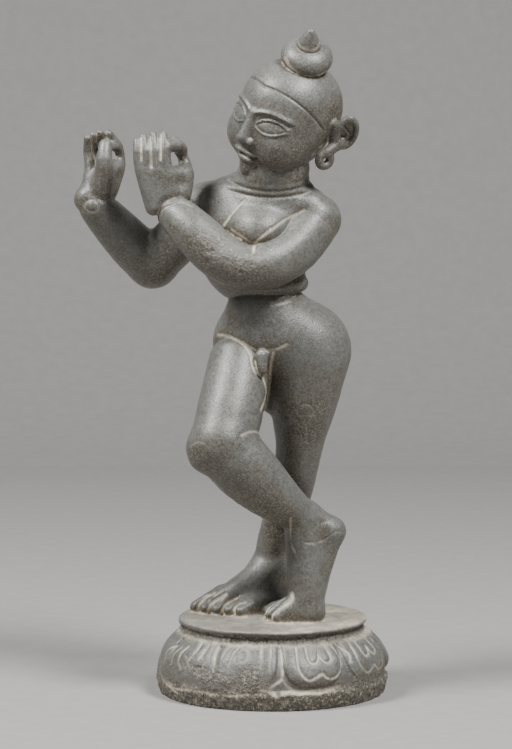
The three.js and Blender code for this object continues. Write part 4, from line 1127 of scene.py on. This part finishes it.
# fine speckle of the stone, and its height for the bump, which grows where the stone is rough
def grainGroup():
    tree, given, result = newGroup("stoneGrain", [("Strength", 0.5), ("Rough", 0)], ["Speckle", "Height"])
    coordinates = node(tree, "ShaderNodeTexCoord", (-900, 0)).outputs["Object"]
    fine = noiseTexture(tree, coordinates, 700, 2, (-700, 100))
    coarse = noiseTexture(tree, coordinates, 260, 4, (-700, -150), 0.7)
    pits = noiseTexture(tree, coordinates, 330, 3, (-700, -400), 0.6)
    both = math2(tree, "ADD", math2(tree, "MULTIPLY", fine, 0.5, (-500, 100)),
                 math2(tree, "MULTIPLY", coarse, 0.5, (-500, -150)), (-300, 0))
    speckle = math2(tree, "MULTIPLY", mapRange(tree, both, (-150, 0), 0.38, 0.62, -1, 1),
                    given.outputs["Strength"], (50, 0))
    rougher = math2(tree, "MULTIPLY", mapRange(tree, pits, (-500, -400), 0.35, 0.65, 0, 2.6),
                    given.outputs["Rough"], (-150, -300))
    tree.links.new(speckle, result.inputs["Speckle"])
    tree.links.new(math2(tree, "ADD", both, rougher, (50, -200)), result.inputs["Height"])
    return tree


# cloudy brown patina patches, stronger where the stone is rough, darkened further with painted shade
# where a surface faces down or lies in a hollow, and the light specks that cling to them
def patinaAndShadeGroup():
    tree, given, result = newGroup("patinaAndShade", [("Shelter", 0), ("Rough", 0), ("Amount", 1)],
                                   ["Mask", "Specks"])
    coordinates = node(tree, "ShaderNodeTexCoord", (-1100, 0)).outputs["Object"]
    clouds = noiseTexture(tree, coordinates, 24, 3, (-900, 100), 0.55)
    blots = noiseTexture(tree, coordinates, 120, 4, (-900, -150), 0.65)
    normal = node(tree, "ShaderNodeNewGeometry", (-1100, -400)).outputs["Normal"]
    up = node(tree, "ShaderNodeSeparateXYZ", (-900, -400))
    tree.links.new(normal, up.inputs[0])
    # painted shade: surfaces that face down are made browner and darker
    down = mapRange(tree, up.outputs["Z"], (-700, -400), 0.5, -0.6, -0.15, 0.4)
    total = math2(tree, "ADD", math2(tree, "MULTIPLY", clouds, 0.9, (-700, 100)),
                  math2(tree, "MULTIPLY", blots, 0.7, (-700, -150)), (-500, 0))
    total = math2(tree, "ADD", total, down, (-350, -100))
    # painted shade: hollows are made browner and darker
    hollowShade = math2(tree, "MULTIPLY", given.outputs["Shelter"], 0.35, (-500, -250))
    total = math2(tree, "ADD", total, hollowShade, (-200, -100))
    roughShare = math2(tree, "MULTIPLY", given.outputs["Rough"], 0.3, (-350, -300))
    total = math2(tree, "ADD", total, roughShare, (-100, -200))
    mask = mapRange(tree, total, (50, -100), 0.78, 1.15)
    fine = noiseTexture(tree, coordinates, 620, 3, (-900, 350), 0.75)
    bold = noiseTexture(tree, coordinates, 330, 3, (-900, 600), 0.75)
    fineSpecks = math2(tree, "MULTIPLY", mapRange(tree, fine, (-700, 350), 0.48, 0.7, 0, 0.6),
                       mask, (200, 200))
    boldSpecks = math2(tree, "MULTIPLY", mapRange(tree, bold, (-700, 600), 0.52, 0.66),
                       given.outputs["Rough"], (200, 400))
    tree.links.new(math2(tree, "MULTIPLY", mask, given.outputs["Amount"], (200, -100)), result.inputs["Mask"])
    tree.links.new(math2(tree, "MAXIMUM", fineSpecks, boldSpecks, (400, 300)), result.inputs["Specks"])
    return tree


# pale dust in grooves and along the pale lines, broken up; the lines also carry the painted
# highlight on the right of the disc top
def dustAndHighlightGroup():
    tree, given, result = newGroup("dustAndDiscHighlight", [("Groove", 0), ("Line", 0), ("Amount", 1)], ["Mask"])
    coordinates = node(tree, "ShaderNodeTexCoord", (-1100, 0)).outputs["Object"]
    broken = noiseTexture(tree, coordinates, 160, 4, (-900, 0), 0.7)
    spots = mapRange(tree, broken, (-700, 0), 0.42, 0.62)
    deep = mapRange(tree, given.outputs["Groove"], (-700, -250), 0.32, 0.8)
    fromGroove = math2(tree, "MULTIPLY", deep, spots, (-450, -150))
    breakLine = mapRange(tree, broken, (-700, 200), 0.36, 0.54, 0.45, 1)
    fromLine = math2(tree, "MULTIPLY", given.outputs["Line"], breakLine, (-450, 150))
    both = math2(tree, "MAXIMUM", fromGroove, fromLine, (-250, 0))
    tree.links.new(math2(tree, "MULTIPLY", both, given.outputs["Amount"], (-50, 0)), result.inputs["Mask"])
    return tree


def placeGroup(tree, group, place, **values):
    item = node(tree, "ShaderNodeGroup", place, node_tree=group)
    for key, value in values.items():
        if isinstance(value, (int, float)):
            item.inputs[key].default_value = value
        else:
            tree.links.new(value, item.inputs[key])
    return item


def stoneMaterial():
    material = bpy.data.materials.new("dark_stone")
    material.use_nodes = True
    tree = material.node_tree
    shader = tree.nodes["Principled BSDF"]
    attributes = {}
    for i, key in enumerate(("groove", "hollow", "pale", "rough")):
        reader = node(tree, "ShaderNodeAttribute", (-1400, 300 - 200 * i), attribute_name=key)
        attributes[key] = reader.outputs["Fac"]
    grain = placeGroup(tree, grainGroup(), (-1100, 500), Strength=stone["grain"], Rough=attributes["rough"])
    patinaAndShade = placeGroup(tree, patinaAndShadeGroup(), (-1100, 300), Shelter=attributes["hollow"],
                        Rough=attributes["rough"], Amount=stone["patinaAndShadeAmount"])
    dust = placeGroup(tree, dustAndHighlightGroup(), (-1100, 50), Groove=attributes["groove"], Line=attributes["pale"],
                      Amount=stone["dustAndHighlightAmount"])
    # the brown is partly patina, mottled and stronger where rough, and partly painted shade on down-facing
    # and hollow surfaces
    colour = mixColours(tree, patinaAndShade.outputs["Mask"], stone["grey"], stone["brown"], (-800, 300))
    lighter = mapRange(tree, grain.outputs["Speckle"], (-800, 550), -1, 1, 0.66, 1.4)
    colour = mixColours(tree, 1.0, colour, greyOf(tree, lighter, (-650, 550)), (-500, 350), "MULTIPLY")
    specks = math2(tree, "MULTIPLY", patinaAndShade.outputs["Specks"], stone["specks"], (-650, 100))
    colour = mixColours(tree, specks, colour, stone["dust"], (-400, 250))
    # pale dust, together with the painted highlight on the right of the disc top
    colour = mixColours(tree, dust.outputs["Mask"], colour, stone["dust"], (-300, 250))
    tree.links.new(colour, shader.inputs["Base Color"])
    shader.inputs["Specular IOR Level"].default_value = stone["specular"]
    dull = math2(tree, "ADD", math2(tree, "MULTIPLY", dust.outputs["Mask"], 0.35, (-500, -50)),
                 math2(tree, "MULTIPLY", attributes["rough"], 0.2, (-500, -200)), (-300, -100))
    wear = mapRange(tree, grain.outputs["Speckle"], (-500, -350), -1, 1, stone["roughness"] - 0.08,
                    stone["roughness"] + 0.1)
    tree.links.new(math2(tree, "ADD", dull, wear, (-100, -150)), shader.inputs["Roughness"])
    bump = node(tree, "ShaderNodeBump", (-250, -450))
    bump.inputs["Strength"].default_value = stone["bump"]
    bump.inputs["Distance"].default_value = stone["bumpDistance"]
    tree.links.new(grain.outputs["Height"], bump.inputs["Height"])
    tree.links.new(bump.outputs["Normal"], shader.inputs["Normal"])
    return material


print("stage: stone material")
figure.data.materials.clear()
figure.data.materials.append(stoneMaterial())
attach(figure, "root")
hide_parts(nodeName, "left_hand", "right_hand")


# floor, lights and the light from all round: lengths in metres, angles in degrees, powers in watts
studio = {
    "floor": (0.34, 0.337, 0.328, 1),
    "floorRoughness": 0.8,
    "floorReach": 9,
    "wallWidth": 8,
    "wallFrom": 1.6,
    "wallCurve": 0.9,
    "wallTop": 4,
    "wallLift": 0.001,
    "aim": (0, 0, 0.35),
    "boxSize": 0.8,
    "lightDistance": 2.4,
    "leftAngle": -68,
    "leftHeight": 50,
    "leftPower": 88,
    "leftTint": (1, 0.985, 0.96),
    "rightAngle": 45,
    "rightHeight": 52,
    "rightPower": 94,
    "rightTint": (1, 0.99, 0.98),
    "surround": 0.03,
    "surroundTint": (0.8, 0.84, 0.9, 1),
}


# a wide flat floor, and a wall behind the piece that curves up out of it
def sweep():
    curve = studio["wallCurve"]
    lift = studio["wallLift"]
    reach = studio["floorReach"]
    half = studio["wallWidth"] / 2
    wall = [(studio["wallFrom"] + curve * math.sin(a), lift + curve - curve * math.cos(a))
            for a in np.linspace(0, math.pi / 2, 16)]
    wall += [(studio["wallFrom"] + curve, studio["wallTop"])]
    turn = math.radians(view["turn"])
    corners = [(x, y, 0) for y in (-reach, reach) for x in (-reach, reach)]
    corners += [(x, y, z) for y, z in wall for x in (-half, half)]
    spots = [(x * math.cos(turn) - y * math.sin(turn), x * math.sin(turn) + y * math.cos(turn), z)
             for x, y, z in corners]
    starts = [0] + [4 + 2 * i for i in range(len(wall) - 1)]
    faces = np.array([(i, i + 1, i + 3, i + 2) for i in starts])
    item = meshObject("floor", np.array(spots), faces)
    item.data.shade_smooth()
    material = bpy.data.materials.new("floor_paper")
    material.use_nodes = True
    tree = material.node_tree
    coordinates = node(tree, "ShaderNodeTexCoord", (-900, 0)).outputs["Object"]
    fibre = mapRange(tree, noiseTexture(tree, coordinates, 60, 4, (-700, 0)), (-500, 0), 0.3, 0.7, 0.96, 1.03)
    colour = mixColours(tree, 1.0, studio["floor"], greyOf(tree, fibre, (-350, 0)), (-200, 0), "MULTIPLY")
    shader = tree.nodes["Principled BSDF"]
    tree.links.new(colour, shader.inputs["Base Color"])
    shader.inputs["Roughness"].default_value = studio["floorRoughness"]
    # from behind, the wall can be seen through
    fromBehind = node(tree, "ShaderNodeNewGeometry", (-400, -300)).outputs["Backfacing"]
    shown = math2(tree, "SUBTRACT", 1, fromBehind, (-200, -300))
    tree.links.new(shown, shader.inputs["Alpha"])
    item.data.materials.append(material)
    return item


# a round soft box aimed at the chest, placed by its angle from the camera's side and its height
def softBox(name, fromCamera, height, power, colour):
    aim = Vector(studio["aim"])
    around = math.radians(view["turn"] + fromCamera)
    up = math.radians(height)
    direction = Vector((math.sin(around) * math.cos(up), -math.cos(around) * math.cos(up), math.sin(up)))
    data = bpy.data.lights.new(name, "AREA")
    data.shape = "DISK"
    data.size = studio["boxSize"]
    data.energy = power
    data.color = colour
    item = bpy.data.objects.new(name, data)
    item.location = aim + direction * studio["lightDistance"]
    item.rotation_euler = direction.to_track_quat("Z", "Y").to_euler()
    bpy.context.scene.collection.objects.link(item)


print("stage: floor, lights and camera")
sweep()
softBox("left_soft_box", studio["leftAngle"], studio["leftHeight"], studio["leftPower"], studio["leftTint"])
softBox("right_soft_box", studio["rightAngle"], studio["rightHeight"], studio["rightPower"],
        studio["rightTint"])
world = bpy.data.worlds.new("surround")
world.use_nodes = True
world.node_tree.nodes["Background"].inputs["Color"].default_value = studio["surroundTint"]
world.node_tree.nodes["Background"].inputs["Strength"].default_value = studio["surround"]
bpy.context.scene.world = world

cameraData = bpy.data.cameras.new("camera")
cameraData.lens = view["lens"]
cameraData.sensor_width = view["sensor"]
camera = bpy.data.objects.new("camera", cameraData)
camera.location = [value * metres for value in view["place"]]
camera.rotation_euler = (math.radians(90 - view["pitch"]), 0, math.radians(view["turn"]))
bpy.context.scene.collection.objects.link(camera)
bpy.context.scene.camera = camera
